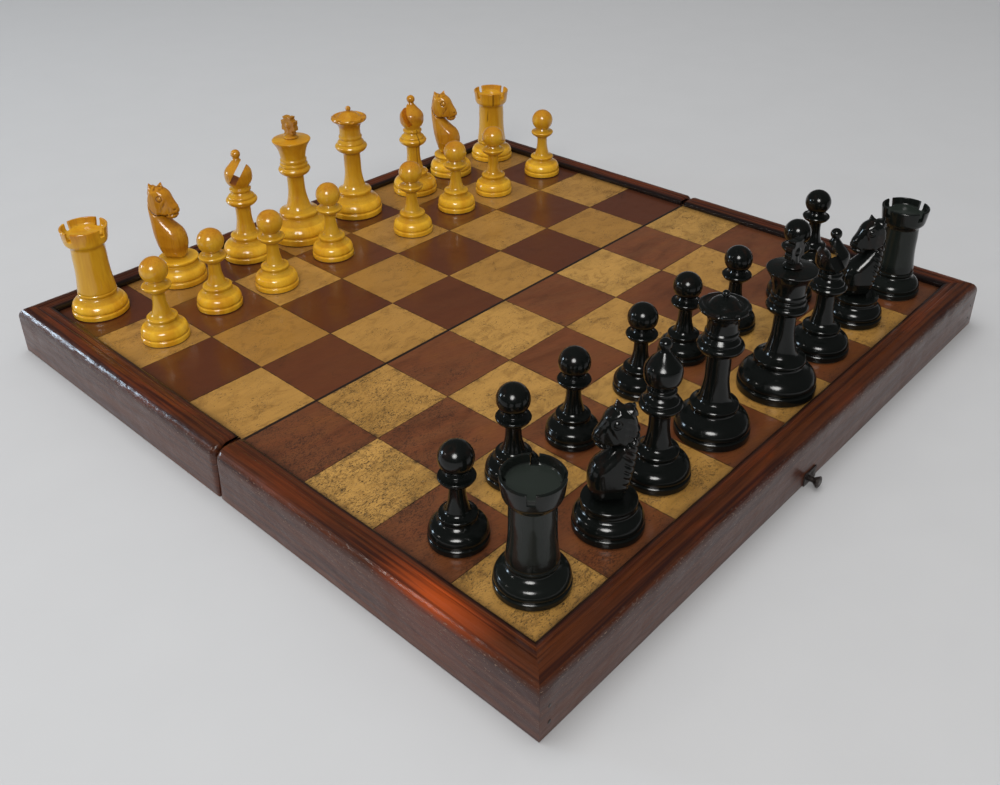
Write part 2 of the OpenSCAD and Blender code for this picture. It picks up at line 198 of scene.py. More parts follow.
class Finish:
    """One procedural material, built up node by node; patterns are given in millimetres."""

    def __init__(self, name):
        self.material = bpy.data.materials.new(name)
        self.material.use_nodes = True
        self.tree = self.material.node_tree
        self.tree.nodes.clear()

    def put(self, kind, settings=None, **sockets):
        return put(self.tree, "ShaderNode" + kind, settings, **sockets)

    def object_place(self):
        return self.put("TexCoord").outputs["Object"]

    def marked(self, name, output="Fac"):
        """A number or a vector that mark() has kept on the piece."""
        return self.put("Attribute", {"attribute_name": name}).outputs[output]

    def along_grain(self):
        return self.marked("grain", "Vector")

    def drawn_out(self, vector, draw=1.0, unit=1 / MM):
        """The coordinates in millimetres, each axis drawn out by how small its number is."""
        draw = draw if isinstance(draw, tuple) else (draw,) * 3
        return self.put("Mapping", Vector=vector, Scale=tuple(unit * v for v in draw)).outputs[0]

    def turned(self, vector, angle, shift=0.0):
        """The coordinates in millimetres, turned about Z and shifted along X."""
        place = self.drawn_out(vector)
        return self.put("Mapping", Vector=place, Rotation=(0, 0, angle), Location=(shift, 0, 0)).outputs[0]

    def noise(self, vector, draw, detail=3.0, rough=0.55, bend=0.0, unit=1 / MM):
        place = self.drawn_out(vector, draw, unit)
        return self.put("TexNoise", Vector=place, Scale=1.0, Detail=detail, Roughness=rough,
                        Distortion=bend).outputs[0]

    def cell_edges(self, vector, scale):
        return self.put("TexVoronoi", {"feature": "DISTANCE_TO_EDGE"}, Vector=vector, Scale=scale,
                        Randomness=1.0).outputs["Distance"]

    def ramp(self, value, *stops):
        made = self.put("ValToRGB", Fac=value)
        line = made.color_ramp
        while len(line.elements) < len(stops):
            line.elements.new(0.5)
        for element, (place, colour) in zip(line.elements, stops):
            element.position = place
            element.color = (*colour, 1)
        return made.outputs["Color"]

    def mix(self, share, a, b):
        a, b = (v if isinstance(v, bpy.types.NodeSocket) else (*v, 1) for v in (a, b))
        return self.put("Mix", {"data_type": "RGBA"}, i0=share, i6=a, i7=b).outputs[2]

    def math(self, what, a, b=0.0):
        return self.put("Math", {"operation": what}, i0=a, i1=b).outputs[0]

    def chain(self, what, values):
        total = values[0]
        for value in values[1:]:
            total = self.math(what, total, value)
        return total

    def plus(self, *values):
        return self.chain("ADD", values)

    def times(self, *values):
        return self.chain("MULTIPLY", values)

    def most(self, *values):
        return self.chain("MAXIMUM", values)

    def span(self, value, low, high, to_low=0.0, to_high=1.0):
        return self.put("MapRange", Value=value, From_Min=low, From_Max=high, To_Min=to_low,
                        To_Max=to_high).outputs[0]

    def bump(self, height, depth, under=None):
        """Relief of that depth in millimetres, on top of another."""
        made = self.put("Bump", Height=height, Distance=depth * MM, Strength=1.0)
        if under is not None:
            self.tree.links.new(under, made.inputs["Normal"])
        return made.outputs[0]

    def done(self, **sockets):
        shader = self.put("BsdfPrincipled", **sockets)
        self.tree.links.new(shader.outputs[0], self.put("OutputMaterial").inputs[0])
        return self.material

    def polished(self, colour, rough, relief, coat, coat_rough, level):
        """Ends in wood under a coat of polish that follows its relief."""
        return self.done(Base_Color=colour, Roughness=rough, Normal=relief, Coat_Normal=relief,
                         Coat_Weight=coat, Coat_Roughness=coat_rough, Specular_IOR_Level=level)


# Finishes


def colours():
    return bpy.context.scene.games_finishes


def moulding_finish():
    """Old french polished mahogany: plain dark flanks, orange lines on top, an inner side darkened almost to black, and
    rubbed edges whose pale chips also stand for painted glints.
    """
    c, f = colours(), Finish("polished_mahogany")
    place, glow, wear = f.along_grain(), f.marked("glow"), f.marked("wear")
    ember, fire = (0.05, 0.008, 0.002), (0.33, 0.050, 0.005)
    near_black, bare_wood_and_glint = (0.006, 0.004, 0.004), (0.34, 0.21, 0.14)
    streaks = f.noise(place, (0.008, 0.42, 0.42), 5, 0.6, 0.6)
    fine = f.noise(place, (0.06, 2.4, 2.4), 3, 0.6, 0.2)
    patches = f.noise(place, (0.014, 0.07, 0.07), 3, 0.6, 0.4)
    flank = f.mix(f.span(streaks, 0.38, 0.62), shade(c.moulding_dark, 2.2), shade(c.moulding, 1.5))
    crown = f.ramp(streaks, (0.36, c.moulding_dark), (0.47, shade(c.moulding, 0.7)), (0.57, c.moulding),
                   (0.72, shade(c.moulding_warm, 0.3)))
    wood = f.mix(glow, flank, crown)
    wood = f.mix(f.span(fine, 0.45, 0.72, 0, 0.5), wood, c.moulding_dark)
    lit = f.times(f.span(patches, 0.5, 0.66, 0, 0.18), f.math("POWER", glow, 1.5))
    wood = f.mix(f.most(lit, f.marked("blaze")), wood, f.mix(f.span(streaks, 0.3, 0.5), ember, fire))
    # almost black where the mark is set: the rails' inner side
    wood = f.mix(f.marked("dirt_and_shade"), wood, near_black)
    wood = f.mix(f.times(wear, 0.55), wood, c.moulding_dark)
    # pale specks along the arris: chipped bare wood, and painted glints of the lamps
    chips = f.times(f.span(f.noise(place, (0.5, 1.3, 1.3), 4, 0.7), 0.6, 0.64), wear)
    wood = f.mix(f.times(chips, 0.75), wood, bare_wood_and_glint)
    relief = f.bump(f.noise(place, (0.1, 0.16, 0.16), 2, 0.5), 0.45)
    relief = f.bump(f.noise(place, (0.6, 1.3, 1.3), 4, 0.65), 0.06, relief)
    relief = f.bump(chips, -0.25, relief)
    rough = f.span(f.noise(place, (0.03, 0.2, 0.2), 4), 0.3, 0.7, 0.3, 0.48)
    return f.polished(wood, rough, relief, 0.5, 0.09, 0.2)


def worn_places(f, place, low, high):
    """Where grime has worked in: clouds on top of the worn places."""
    clouds = f.noise(place, (0.05, 0.06, 0.06), 4, 0.62, 0.8)
    return f.span(f.plus(clouds, f.marked("wear")), low, high)


def joint_dirt_and_seam_shade(f, worn):
    """Dirt in the joints between the squares, wider where the board is worn, and painted shade in a black band down the
    seam.
    """
    side, place = bpy.context.scene.games_box.square, f.object_place()
    x, y = f.put("SeparateXYZ", Vector=place).outputs[:2]
    near = f.math("MINIMUM", f.math("PINGPONG", x, side / 2), f.math("PINGPONG", y, side / 2))
    ragged = f.noise(place, 0.22, 4, 0.7)
    thin = f.times(f.span(near, 0.1 * MM, 0.5 * MM, 1, 0), f.span(ragged, 0.36, 0.56, 0.25, 0.9))
    wide = f.times(f.span(near, 0.2 * MM, 4.5 * MM, 1, 0), f.span(ragged, 0.5, 0.62), f.times(worn, 0.9))
    # painted shade: a black band down the seam between the halves
    seam = f.span(f.math("ABSOLUTE", y), 0.8 * MM, 1.15 * MM, 1, 0)
    return f.most(thin, wide, seam)


def light_finish():
    """Worn ochre veneer with clouds, open pores, cracks and scratches that hold black grime."""
    f, base = Finish("light_veneer"), colours().light_veneer
    place = f.along_grain()
    soft = f.noise(place, (0.022, 0.06, 0.06), 3, 0.6, 0.5)
    clouds = f.noise(place, (0.09, 0.14, 0.14), 5, 0.7, 0.8)
    grain = f.noise(place, (0.12, 1.3, 1.3), 3, 0.6, 0.3)
    wood = f.ramp(soft, (0.3, shade(base, 0.66)), (0.52, base), (0.74, shade(base, 1.12)))
    wood = f.mix(f.marked("aged"), wood, shade(base, 0.62, 0.52, 0.38))
    wood = f.mix(f.span(clouds, 0.5, 0.66, 0, 0.62), wood, shade(base, 0.42, 0.36, 0.32))
    wood = f.mix(f.span(grain, 0.42, 0.7, 0, 0.3), wood, shade(base, 0.55))
    worn = worn_places(f, place, 0.42, 0.74)
    pores = f.noise(place, (0.75, 1.9, 1.9), 3, 0.7, 0.8)
    pores = f.span(f.plus(pores, f.times(worn, 0.11)), 0.655, 0.70)
    marks = []
    rows = ((0.5, 0.05, 3.1, 0.004), (1.9, 0.16, 9.7, 0.014), (2.7, 0.11, 21.3, 0.010))
    for angle, scale, shift, thick in rows:
        turned_place = f.turned(place, angle, shift)
        line = f.cell_edges(f.drawn_out(turned_place, (0.25, 1, 1), 1), scale)
        broken = f.noise(turned_place, 0.24, 3, 0.7, unit=1)
        marks.append(f.times(f.span(line, 0.0, thick, 1, 0), f.span(broken, 0.53, 0.6)))
    cracks = f.times(f.most(marks[1], marks[2]), f.span(worn, 0.25, 0.8))
    grime = f.noise(place, (0.3, 0.45, 0.45), 6, 0.8, 0.6)
    grime = f.times(f.span(grime, 0.52, 0.66), f.span(worn, 0.45, 1.0))
    dark = f.most(f.times(grime, 0.8), f.times(pores, 0.9), f.times(f.most(cracks, marks[0]), 0.8),
                  joint_dirt_and_seam_shade(f, worn), f.marked("dirt_and_shade"))
    wood = f.mix(dark, wood, (0.022, 0.012, 0.007))
    relief = f.bump(dark, -0.05, f.bump(f.noise(place, 0.04, 2), 0.5))
    rough = f.plus(f.span(soft, 0.3, 0.7, 0.34, 0.44), f.times(dark, 0.2))
    return f.polished(wood, rough, relief, 0.45, 0.16, 0.3)


def dark_finish():
    """Mahogany veneer, purple brown to orange brown, with short slanting grain and dull black wear."""
    f, base = Finish("dark_veneer"), colours().dark_veneer
    place = f.along_grain()
    soft = f.noise(place, (0.016, 0.05, 0.05), 3, 0.6, 0.6)
    slanting = f.turned(place, 0.35)
    grain = f.noise(slanting, (0.16, 1.5, 1.5), 4, 0.65, 0.2, 1)
    bands = f.noise(slanting, (0.012, 0.11, 0.11), 3, 0.6, 0.4, 1)
    wood = f.ramp(soft, (0.3, shade(base, 0.55)), (0.52, base), (0.72, (0.20, 0.068, 0.018)))
    wood = f.mix(f.span(bands, 0.45, 0.62, 0, 0.5), wood, (0.165, 0.062, 0.022))
    wood = f.mix(f.marked("aged"), wood, (0.085, 0.021, 0.007))
    wood = f.mix(f.span(grain, 0.42, 0.7, 0, 0.5), wood, shade(base, 0.4))
    worn = worn_places(f, place, 0.46, 0.82)
    flecks = f.noise(place, (0.8, 2.0, 2.0), 4, 0.75, 0.5)
    flecks = f.span(f.plus(flecks, f.times(worn, 0.13)), 0.62, 0.69)
    flecks = f.times(flecks, f.span(worn, 0, 0.6, 0.15, 0.8))
    wood = f.mix(f.most(flecks, f.marked("dirt_and_shade"), joint_dirt_and_seam_shade(f, worn)), wood, (0.014, 0.008, 0.006))
    relief = f.bump(grain, 0.025, f.bump(f.noise(place, 0.035, 2), 0.5))
    return f.polished(wood, f.span(worn, 0, 1, 0.3, 0.46), relief, 0.75, 0.11, 0.3)


def boxwood_finish(cut=False):
    """Old golden boxwood with honey heads, polish and painted shade in the hollows, or the bare wood of a cut."""
    c, f = colours(), Finish("boxwood_cut" if cut else "boxwood")
    place, base = f.along_grain(), c.boxwood
    soft = f.noise(place, (0.1, 0.1, 0.018), 3, 0.6, 0.5)
    grain = f.noise(place, (0.9, 0.9, 0.04), 3, 0.6, 0.2)
    wood = f.ramp(soft, (0.3, shade(base, 0.82, 0.68, 0.4)), (0.55, base), (0.76, shade(base, 1.1, 1.18, 1.7)))
    wood = f.mix(f.span(grain, 0.46, 0.74, 0, 0.32), wood, shade(base, 0.7, 0.58, 0.4))
    blush = f.noise(place, (0.07, 0.07, 0.05), 3, 0.6, 0.6)
    glow = f.times(f.span(blush, 0.25, 0.65, 0.35, 1.0), f.marked("glow"))
    wood = f.mix(glow, wood, c.honey)
    wood = f.mix(f.times(f.span(grain, 0.5, 0.72), f.times(glow, 0.5)), wood, shade(c.honey, 0.55))
    # painted shade in the hollows and on the narrow parts, with dirt and old polish
    wood = f.mix(f.marked("dirt_and_shade"), wood, (0.13, 0.045, 0.004))
    if cut:
        wood = f.mix(f.span(grain, 0.3, 0.7), (0.42, 0.12, 0.004), (0.62, 0.24, 0.008))
    relief = f.bump(f.noise(place, (0.25, 0.25, 0.1), 2), 0.1)
    return f.polished(wood, f.span(soft, 0.3, 0.7, 0.3, 0.4), relief, 0.85, 0.06, 0.12)


def ebony_finish():
    """Black polished men, a little brown where the polish has worn through."""
    f = Finish("ebonised_wood")
    place = f.along_grain()
    worn_through, grey_dust_and_sheen = (0.022, 0.008, 0.005), (0.020, 0.025, 0.021)
    soft = f.noise(place, (0.14, 0.14, 0.06), 3, 0.6, 0.4)
    worn = f.times(f.span(soft, 0.54, 0.7), f.marked("glow"))
    wood = f.mix(f.times(worn, 0.5), colours().ebony, worn_through)
    # grey where dust has settled, and painted sheen on a rook's crown floor and stem
    wood = f.mix(f.marked("dust_and_sheen"), wood, grey_dust_and_sheen)
    fine = f.noise(place, (1.2, 1.2, 0.1), 3)
    relief = f.bump(fine, 0.006, f.bump(f.noise(place, (0.2, 0.2, 0.1), 2), 0.12))
    return f.polished(wood, f.span(fine, 0.3, 0.7, 0.16, 0.24), relief, 0.42, 0.11, 0.1)


def pine_finish():
    """Oiled pine inside the trays, with growth rings drawn out along the board."""
    f, base = Finish("oiled_pine"), colours().pine
    place = f.object_place()
    bent = f.noise(place, (0.01, 0.03, 0.03), 2, 0.5, 0.3)
    rings = f.put("TexWave", {"wave_type": "BANDS", "bands_direction": "Y"},
                  Vector=f.drawn_out(place, (0.004, 0.05, 0.05)), Scale=1.4, Distortion=5.0, Detail=2.0,
                  Detail_Scale=0.8).outputs["Fac"]
    wood = f.ramp(rings, (0.2, shade(base, 0.62)), (0.7, base), (1.0, shade(base, 1.2)))
    wood = f.mix(f.span(bent, 0.4, 0.7, 0, 0.5), wood, shade(base, 0.55))
    return f.done(Base_Color=wood, Roughness=f.span(rings, 0, 1, 0.42, 0.56), Normal=f.bump(rings, 0.05),
                  Coat_Weight=0.25, Coat_Roughness=0.3)


def metal_finish(name, base, dull, shine, depth):
    """Old metal, bright where it is rubbed and dull in its patina."""
    f = Finish(name)
    place = f.object_place()
    patina = f.noise(place, 0.4, 4, 0.6, 0.5)
    return f.done(Base_Color=f.ramp(patina, (0.35, dull), (0.62, base)), Metallic=shine,
                  Roughness=f.span(patina, 0.35, 0.7, 0.5, 0.28), Normal=f.bump(f.noise(place, 2.5, 3), depth))


def baize_finish():
    """Green cloth with a short nap."""
    f, base = Finish("green_baize"), colours().baize
    nap = f.noise(f.object_place(), 3.0, 3)
    cloth = f.mix(f.span(nap, 0.3, 0.7), shade(base, 0.5), base)
    return f.done(Base_Color=cloth, Roughness=0.95, Normal=f.bump(nap, 0.08), Sheen_Weight=0.3)


# Shapes


def solid(name, points, faces=(), edges=()):
    """A new object from points, with faces or with loose edges."""
    mesh = bpy.data.meshes.new(name)
    mesh.from_pydata([tuple(p) for p in points], edges, [tuple(int(i) for i in face) for face in faces])
    mesh.update()
    return linked(name, mesh)


def linked(name, mesh):
    made = bpy.data.objects.new(name, mesh)
    bpy.context.scene.collection.objects.link(made)
    return made


def plain(obj):
    """The object with its modifiers worked into a plain mesh."""
    graph = bpy.context.evaluated_depsgraph_get()
    mesh = bpy.data.meshes.new_from_object(obj.evaluated_get(graph), preserve_all_data_layers=True,
                                           depsgraph=graph)
    obj.modifiers.clear()
    obj.data = mesh
    return obj


def worked(obj, tree, **inputs):
    """Runs a tree of geometry nodes on an object, and keeps the plain mesh."""
    step = obj.modifiers.new("nodes", "NODES")
    step.node_group = tree
    for item in tree.interface.items_tree:
        if item.item_type == "SOCKET" and item.in_out == "INPUT" and item.name in inputs:
            step[item.identifier] = inputs[item.name]
    return plain(obj)


def vertices(obj):
    co = np.zeros(len(obj.data.vertices) * 3, np.float32)
    obj.data.vertices.foreach_get("co", co)
    return co.reshape(-1, 3).astype(float)


def mark(obj, name, values):
    """Keeps a number or a vector on each vertex, for the finish to read."""
    values = np.asarray(values, np.float32)
    kind, field = ("FLOAT_VECTOR", "vector") if values.ndim == 2 else ("FLOAT", "value")
    layer = obj.data.attributes.get(name) or obj.data.attributes.new(name, kind, "POINT")
    layer.data.foreach_set(field, values.ravel())


def smooth(obj, degrees):
    obj.data.shade_smooth()
    obj.data.set_sharp_from_angle(angle=math.radians(degrees))


def turn_out(obj):
    """Makes the faces of a closed shape point outwards."""
    work = bmesh.new()
    work.from_mesh(obj.data)
    bmesh.ops.recalc_face_normals(work, faces=work.faces)
    work.to_mesh(obj.data)
    work.free()


def join(obj, other):
    """Adds one mesh to another."""
    work = bmesh.new()
    work.from_mesh(obj.data)
    work.from_mesh(other.data)
    work.to_mesh(obj.data)
    work.free()
    bpy.data.objects.remove(other)


def settle(obj, body, slot, node, *finishes):
    """Gives a finished piece its materials and its body, and hides the solid it stands for; slot is not used."""
    obj.data.materials.clear()
    for finish in finishes:
        obj.data.materials.append(WOODS[finish])
    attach(obj, body)
    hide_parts(node)


def softened(node, width, name, degrees=30):
    """A copy of a solid with its doubles merged and its edges broken."""
    made = linked(name, frame["nodes"][node].data.copy())
    made.modifiers.new("weld", "WELD").merge_threshold = 1e-6
    edge = made.modifiers.new("bevel", "BEVEL")
    edge.width, edge.segments, edge.use_clamp_overlap = width, 2, True
    edge.limit_method, edge.angle_limit = "ANGLE", math.radians(degrees)
    plain(made)
    smooth(made, degrees)
    return made


def bow(p, q, out, count):
    """Points after p up to q, bulging by out to the right of the way there."""
    p, q = np.array(p[:2], float), np.array(q[:2], float)
    d = q - p
    side = np.array([d[1], -d[0]]) / np.hypot(*d)
    return [p + d * i / count + out * math.sin(math.pi * i / count) * side for i in range(1, count + 1)]


def drawn(steps, count=8):
    """A profile from rows of radius, height and bulge."""
    points = [np.array(steps[0][:2], float)]
    for a, b in zip(steps, steps[1:]):
        points += bow(a, b, b[2], count) if len(b) > 2 else [np.array(b, float)]
    return points


def eased(points, radius):
    """The same line with its corners rounded, each by at most 0.4 of the shorter side."""
    straight, step = 0.12, 0.35
    out = [points[0]]
    for a, b, c in zip(points, points[1:], points[2:]):
        ab, cb = a - b, c - b
        la, lc = np.hypot(*ab), np.hypot(*cb)
        if la < 1e-9 or lc < 1e-9:
            continue
        turn = math.pi - math.acos(np.clip(ab @ cb / la / lc, -1, 1))
        if turn < straight:
            out.append(b)
            continue
        cut = min(radius * math.tan(turn / 2), 0.4 * la, 0.4 * lc)
        start, end = b + ab / la * cut, b + cb / lc * cut
        count = max(2, int(turn / step))
        out += [(1 - t) ** 2 * start + 2 * t * (1 - t) * b + t * t * end for t in np.linspace(0, 1, count + 1)]
    return out + [points[-1]]


# Geometry nodes


def new_tree(name, *inputs):
    tree = bpy.data.node_groups.new(name, "GeometryNodeTree")
    tree.interface.new_socket("Geometry", in_out="INPUT", socket_type="NodeSocketGeometry")
    for label, kind, value in inputs + (("Finish", "Material", None),):
        made = tree.interface.new_socket(label, in_out="INPUT", socket_type="NodeSocket" + kind)
        if value is not None:
            made.default_value = value
    tree.interface.new_socket("Geometry", in_out="OUTPUT", socket_type="NodeSocketGeometry")
    return tree, tree.nodes.new("NodeGroupInput").outputs


def geo(tree, kind, settings=None, **sockets):
    """The first output of a new geometry node."""
    return put(tree, "GeometryNode" + kind, settings, **sockets).outputs[0]


def close_tree(tree, shape, finish):
    """Ends a tree in Realize Instances and Set Material."""
    dressed = geo(tree, "SetMaterial", Geometry=geo(tree, "RealizeInstances", Geometry=shape), Material=finish)
    tree.links.new(dressed, tree.nodes.new("NodeGroupOutput").inputs[0])
    return tree


def calc(tree, what, a, b=0.0):
    return put(tree, "ShaderNodeMath", {"operation": what}, i0=a, i1=b).outputs[0]


def vector(tree, **parts):
    return put(tree, "ShaderNodeCombineXYZ", **parts).outputs[0]


def turning_tree():
    """Turns a profile, drawn as a line of points in the XZ plane, round the Z axis."""
    tree, given = new_tree("Turned shape", ("Steps", "Int", 72))
    count = put(tree, "GeometryNodeAttributeDomainSize", Geometry=given["Geometry"]).outputs["Point Count"]
    columns = calc(tree, "ADD", given["Steps"], 1.0)
    grid = geo(tree, "MeshGrid", Size_X=1.0, Size_Y=1.0, Vertices_X=columns, Vertices_Y=count)
    index = geo(tree, "InputIndex")
    column = calc(tree, "FLOOR", calc(tree, "DIVIDE", calc(tree, "ADD", index, 0.5), count))
    row = calc(tree, "SUBTRACT", index, calc(tree, "MULTIPLY", column, count))
    point = geo(tree, "SampleIndex", {"data_type": "FLOAT_VECTOR"}, Geometry=given["Geometry"],
                Value=geo(tree, "InputPosition"), Index=row)
    angle = calc(tree, "MULTIPLY", column, calc(tree, "DIVIDE", 2 * math.pi, given["Steps"]))
    turn = put(tree, "ShaderNodeVectorRotate", {"rotation_type": "Z_AXIS"}, Vector=point, Angle=angle)
    shape = geo(tree, "SetPosition", Geometry=grid, Position=turn.outputs[0])
    return close_tree(tree, geo(tree, "MergeByDistance", Geometry=shape, Distance=1e-6), given["Finish"])


def coronet_tree():
    """Cuts a ring of round scallops out of a shape."""
    tree, given = new_tree("Coronet", ("Points", "Int", 9), ("Ring", "Float", 0.0139),
                           ("Height", "Float", 0.0738), ("Scallop", "Float", 0.0022))
    ring = geo(tree, "MeshCircle", Vertices=given["Points"], Radius=given["Ring"])
    ring = geo(tree, "Transform", Geometry=ring, Translation=vector(tree, Z=given["Height"]))
    ball = geo(tree, "MeshUVSphere", Segments=28, Rings=16, Radius=given["Scallop"])
    balls = geo(tree, "RealizeInstances", Geometry=geo(tree, "InstanceOnPoints", Points=ring, Instance=ball))
    cut = geo(tree, "MeshBoolean", {"operation": "DIFFERENCE", "solver": "EXACT"}, i0=given["Geometry"], i1=balls)
    return close_tree(tree, cut, given["Finish"])


def tiles_tree():
    """Lays one veneer tile on every point, each a hair out of true."""
    tree, given = new_tree("Veneer squares", ("Side", "Float", 0.05), ("Thickness", "Float", 0.0008),
                           ("Tilt", "Float", 0.002), ("Seed", "Int", 4))
    size = vector(tree, X=given["Side"], Y=given["Side"], Z=given["Thickness"])
    tile = geo(tree, "MeshCube", Size=size, Vertices_X=9, Vertices_Y=9, Vertices_Z=2)
    down = calc(tree, "MULTIPLY", given["Tilt"], -1.0)
    ends = [vector(tree, X=v, Y=v) for v in (down, given["Tilt"])]
    lean = put(tree, "FunctionNodeRandomValue", {"data_type": "FLOAT_VECTOR"}, Min=ends[0], Max=ends[1],
               Seed=given["Seed"]).outputs[0]
    laid = geo(tree, "InstanceOnPoints", Points=given["Geometry"], Instance=tile, Rotation=lean)
    return close_tree(tree, laid, given["Finish"])


def heads_tree():
    """Sets a low domed head on every point, facing along the point's own direction."""
    tree, given = new_tree("Nail heads", ("Radius", "Float", 0.0011), ("Rise", "Float", 0.25), ("Seed", "Int", 2))
    ball = geo(tree, "MeshUVSphere", Segments=20, Rings=10, Radius=given["Radius"])
    dome = geo(tree, "Transform", Geometry=ball, Scale=vector(tree, X=1.0, Y=1.0, Z=given["Rise"]))
    facing = geo(tree, "InputNamedAttribute", {"data_type": "FLOAT_VECTOR"}, Name="facing")
    turn = put(tree, "FunctionNodeAlignRotationToVector", {"axis": "Z"}, Vector=facing).outputs[0]
    size = put(tree, "FunctionNodeRandomValue", {"data_type": "FLOAT"}, i2=0.85, i3=1.1, Seed=given["Seed"])
    set_in = geo(tree, "InstanceOnPoints", Points=given["Geometry"], Instance=dome, Rotation=turn,
                 Scale=size.outputs[1])
    return close_tree(tree, set_in, given["Finish"])


# Rails and veneer


def rail_line():
    """A rail's section, in from the outer face and up from the rim, with its edges eased."""
    s = bpy.context.scene.games_box
    top, wide, wall, r = (TOP - RIM) / MM, s.lip_width / MM, s.wall / MM, s.rounding / MM
    field, under, groove = (FIELD - RIM) / MM, (FIELD - VENEER - RIM) / MM - 4, 3
    turn = [(r - r * math.cos(a), top - r + r * math.sin(a)) for a in np.linspace(0, math.pi / 2, 10)]
    line = [(wall, 0), (0, 0)] + turn + [
        (9.2, top), (9.7, top - 0.35), (10.2, top - 0.2), (12.6, top - 0.3), (13.1, top - 0.55), (13.6, top - 0.4),
        (15.6, top - 0.8), (16.7, top - 1.9), (wide, field), (wall - groove, field), (wall - groove, under),
        (wall, under), (wall, 0)]
    return eased([np.array(p) for p in line], 0.7)


def dent(points, scale, seed):
    return np.array([noise.noise(Vector(p) * scale + Vector((seed, 0, 0))) for p in points])


def rail(name, end, mitred, place, seed, flames):
    """Sweeps the section from a mitred corner to the other end, which is mitred too or worn round."""
    ring_gap = 4 * MM
    worn, along = bpy.context.scene.games_box.rail_end / MM, end + HALF
    line = np.array(rail_line())[:-1]
    ahead, behind = np.roll(line, -1, 0), np.roll(line, 1, 0)
    way = ahead - behind
    inward = np.stack([way[:, 1], -way[:, 0]], 1) / np.maximum(np.hypot(*way.T), 1e-9)[:, None]
    close = [] if mitred else [1 - worn * (1 - math.cos(a)) * MM / along for a in np.linspace(0.15, 1.4, 8)]
    share = np.unique(np.concatenate([np.linspace(0, 1, int(along / ring_gap)), close]))
    low = line[:, 0] * MM - HALF
    high = end - (line[:, 0] * MM if mitred else 0)
    rings, marks = [], []
    for t in share:
        reach = 0.0 if mitred else max(0.0, worn - (1 - t) * along / MM)
        pull = worn - math.sqrt(worn * worn - reach * reach)
        section = line + inward * pull * np.clip((line[:, 1:2] - 6) / 18, 0.12, 1)
        x = low + (high - low) * t
        rings.append(np.stack([x, section[:, 0] * MM, section[:, 1] * MM + RIM], 1))
        marks.append(np.stack([x, line[:, 0] * MM, line[:, 1] * MM], 1))
    points, grain = np.concatenate(rings), np.concatenate(marks)
    n, m = len(line), len(share)
    faces = [(i * n + j, i * n + (j + 1) % n, (i + 1) * n + (j + 1) % n, (i + 1) * n + j)
             for i in range(m - 1) for j in range(n)]
    faces += [tuple(range(n))[::-1], tuple(range((m - 1) * n, m * n))]
    across, up = grain[:, 1] / MM, grain[:, 2] / MM
    arris = np.exp(-(((across - 0.8) / 1.6) ** 2 + ((up - 25.5) / 2.4) ** 2))
    waves = dent(grain, 60, seed) * 0.12 + dent(grain, 260, seed + 7) * 0.05
    chips = np.clip(dent(grain, 180, seed + 31) - 0.28, 0, 1) * arris * 2.2
    outside = (across < 16) & (up > 2)
    shift = np.minimum(np.where(outside, waves * np.clip(up / 12, 0.1, 1) - chips, 0), 0) * MM
    points[:, 1:] -= shift[:, None] * np.tile(inward, (m, 1))
    made = solid(name, points, faces)
    mark(made, "grain", grain + [seed * 0.31, seed * 0.07, 0])
    mark(made, "wear", np.clip(arris * 1.3, 0, 1))
    # the inner slope and the inner face, darkened almost to black
    mark(made, "dirt_and_shade", np.clip((across - 13.4) / 2.0, 0, 1) * 0.96)
    top_side = np.clip((up - 23.5) / 3, 0, 1)
    mark(made, "glow", top_side * np.clip((15 - across) / 3, 0.15, 1))
    # a patch of fiery grain, centred 62 mm from the corner
    from_corner = (grain[:, 0] + HALF) / MM
    patch = np.clip(1.1 - np.abs(from_corner - 62) / 34, 0, 1)
    mark(made, "blaze", flames * top_side * np.clip((13.5 - across) / 3, 0, 1) * patch)
    made.data.transform(place)
    smooth(made, 38)
    turn_out(made)
    return made


class GAMESBOX_OT_rails(bpy.types.Operator):
    """Moulded rails of both halves, mitred at the corners and worn round at the seam"""

    bl_idname = "games_box.rails"
    bl_label = "Rails"

    def execute(self, context):
        # a rail is swept along x with its section inwards along +y, then turned to its side of the box
        end_side = Matrix.Translation((0, -HALF, 0))
        left_side = Matrix(((0, 1, 0, -HALF), (1, 0, 0, 0), (0, 0, 1, 0), (0, 0, 0, 1)))
        right_side = Matrix.Diagonal((-1, 1, 1, 1)) @ left_side
        gap = SEAM + 0.45 * MM
        rows = (("end", HALF, True, end_side), ("left", -gap, False, left_side), ("right", -gap, False, right_side))
        for half, side in HALVES:
            flip = Matrix.Diagonal((1, -side, 1, 1))
            for k, (word, end, mitred, place) in enumerate(rows):
                node = f"{half}_{word}_rail"
                seed = 3.7 * k + (11.3 if side > 0 else 0)
                flames = 1.0 if node == "near_left_rail" else 0.0
                made = rail(node + "_wood", end, mitred, flip @ place, seed, flames)
                settle(made, half + "_half", "moulding", node, "moulding")
        return {"FINISHED"}


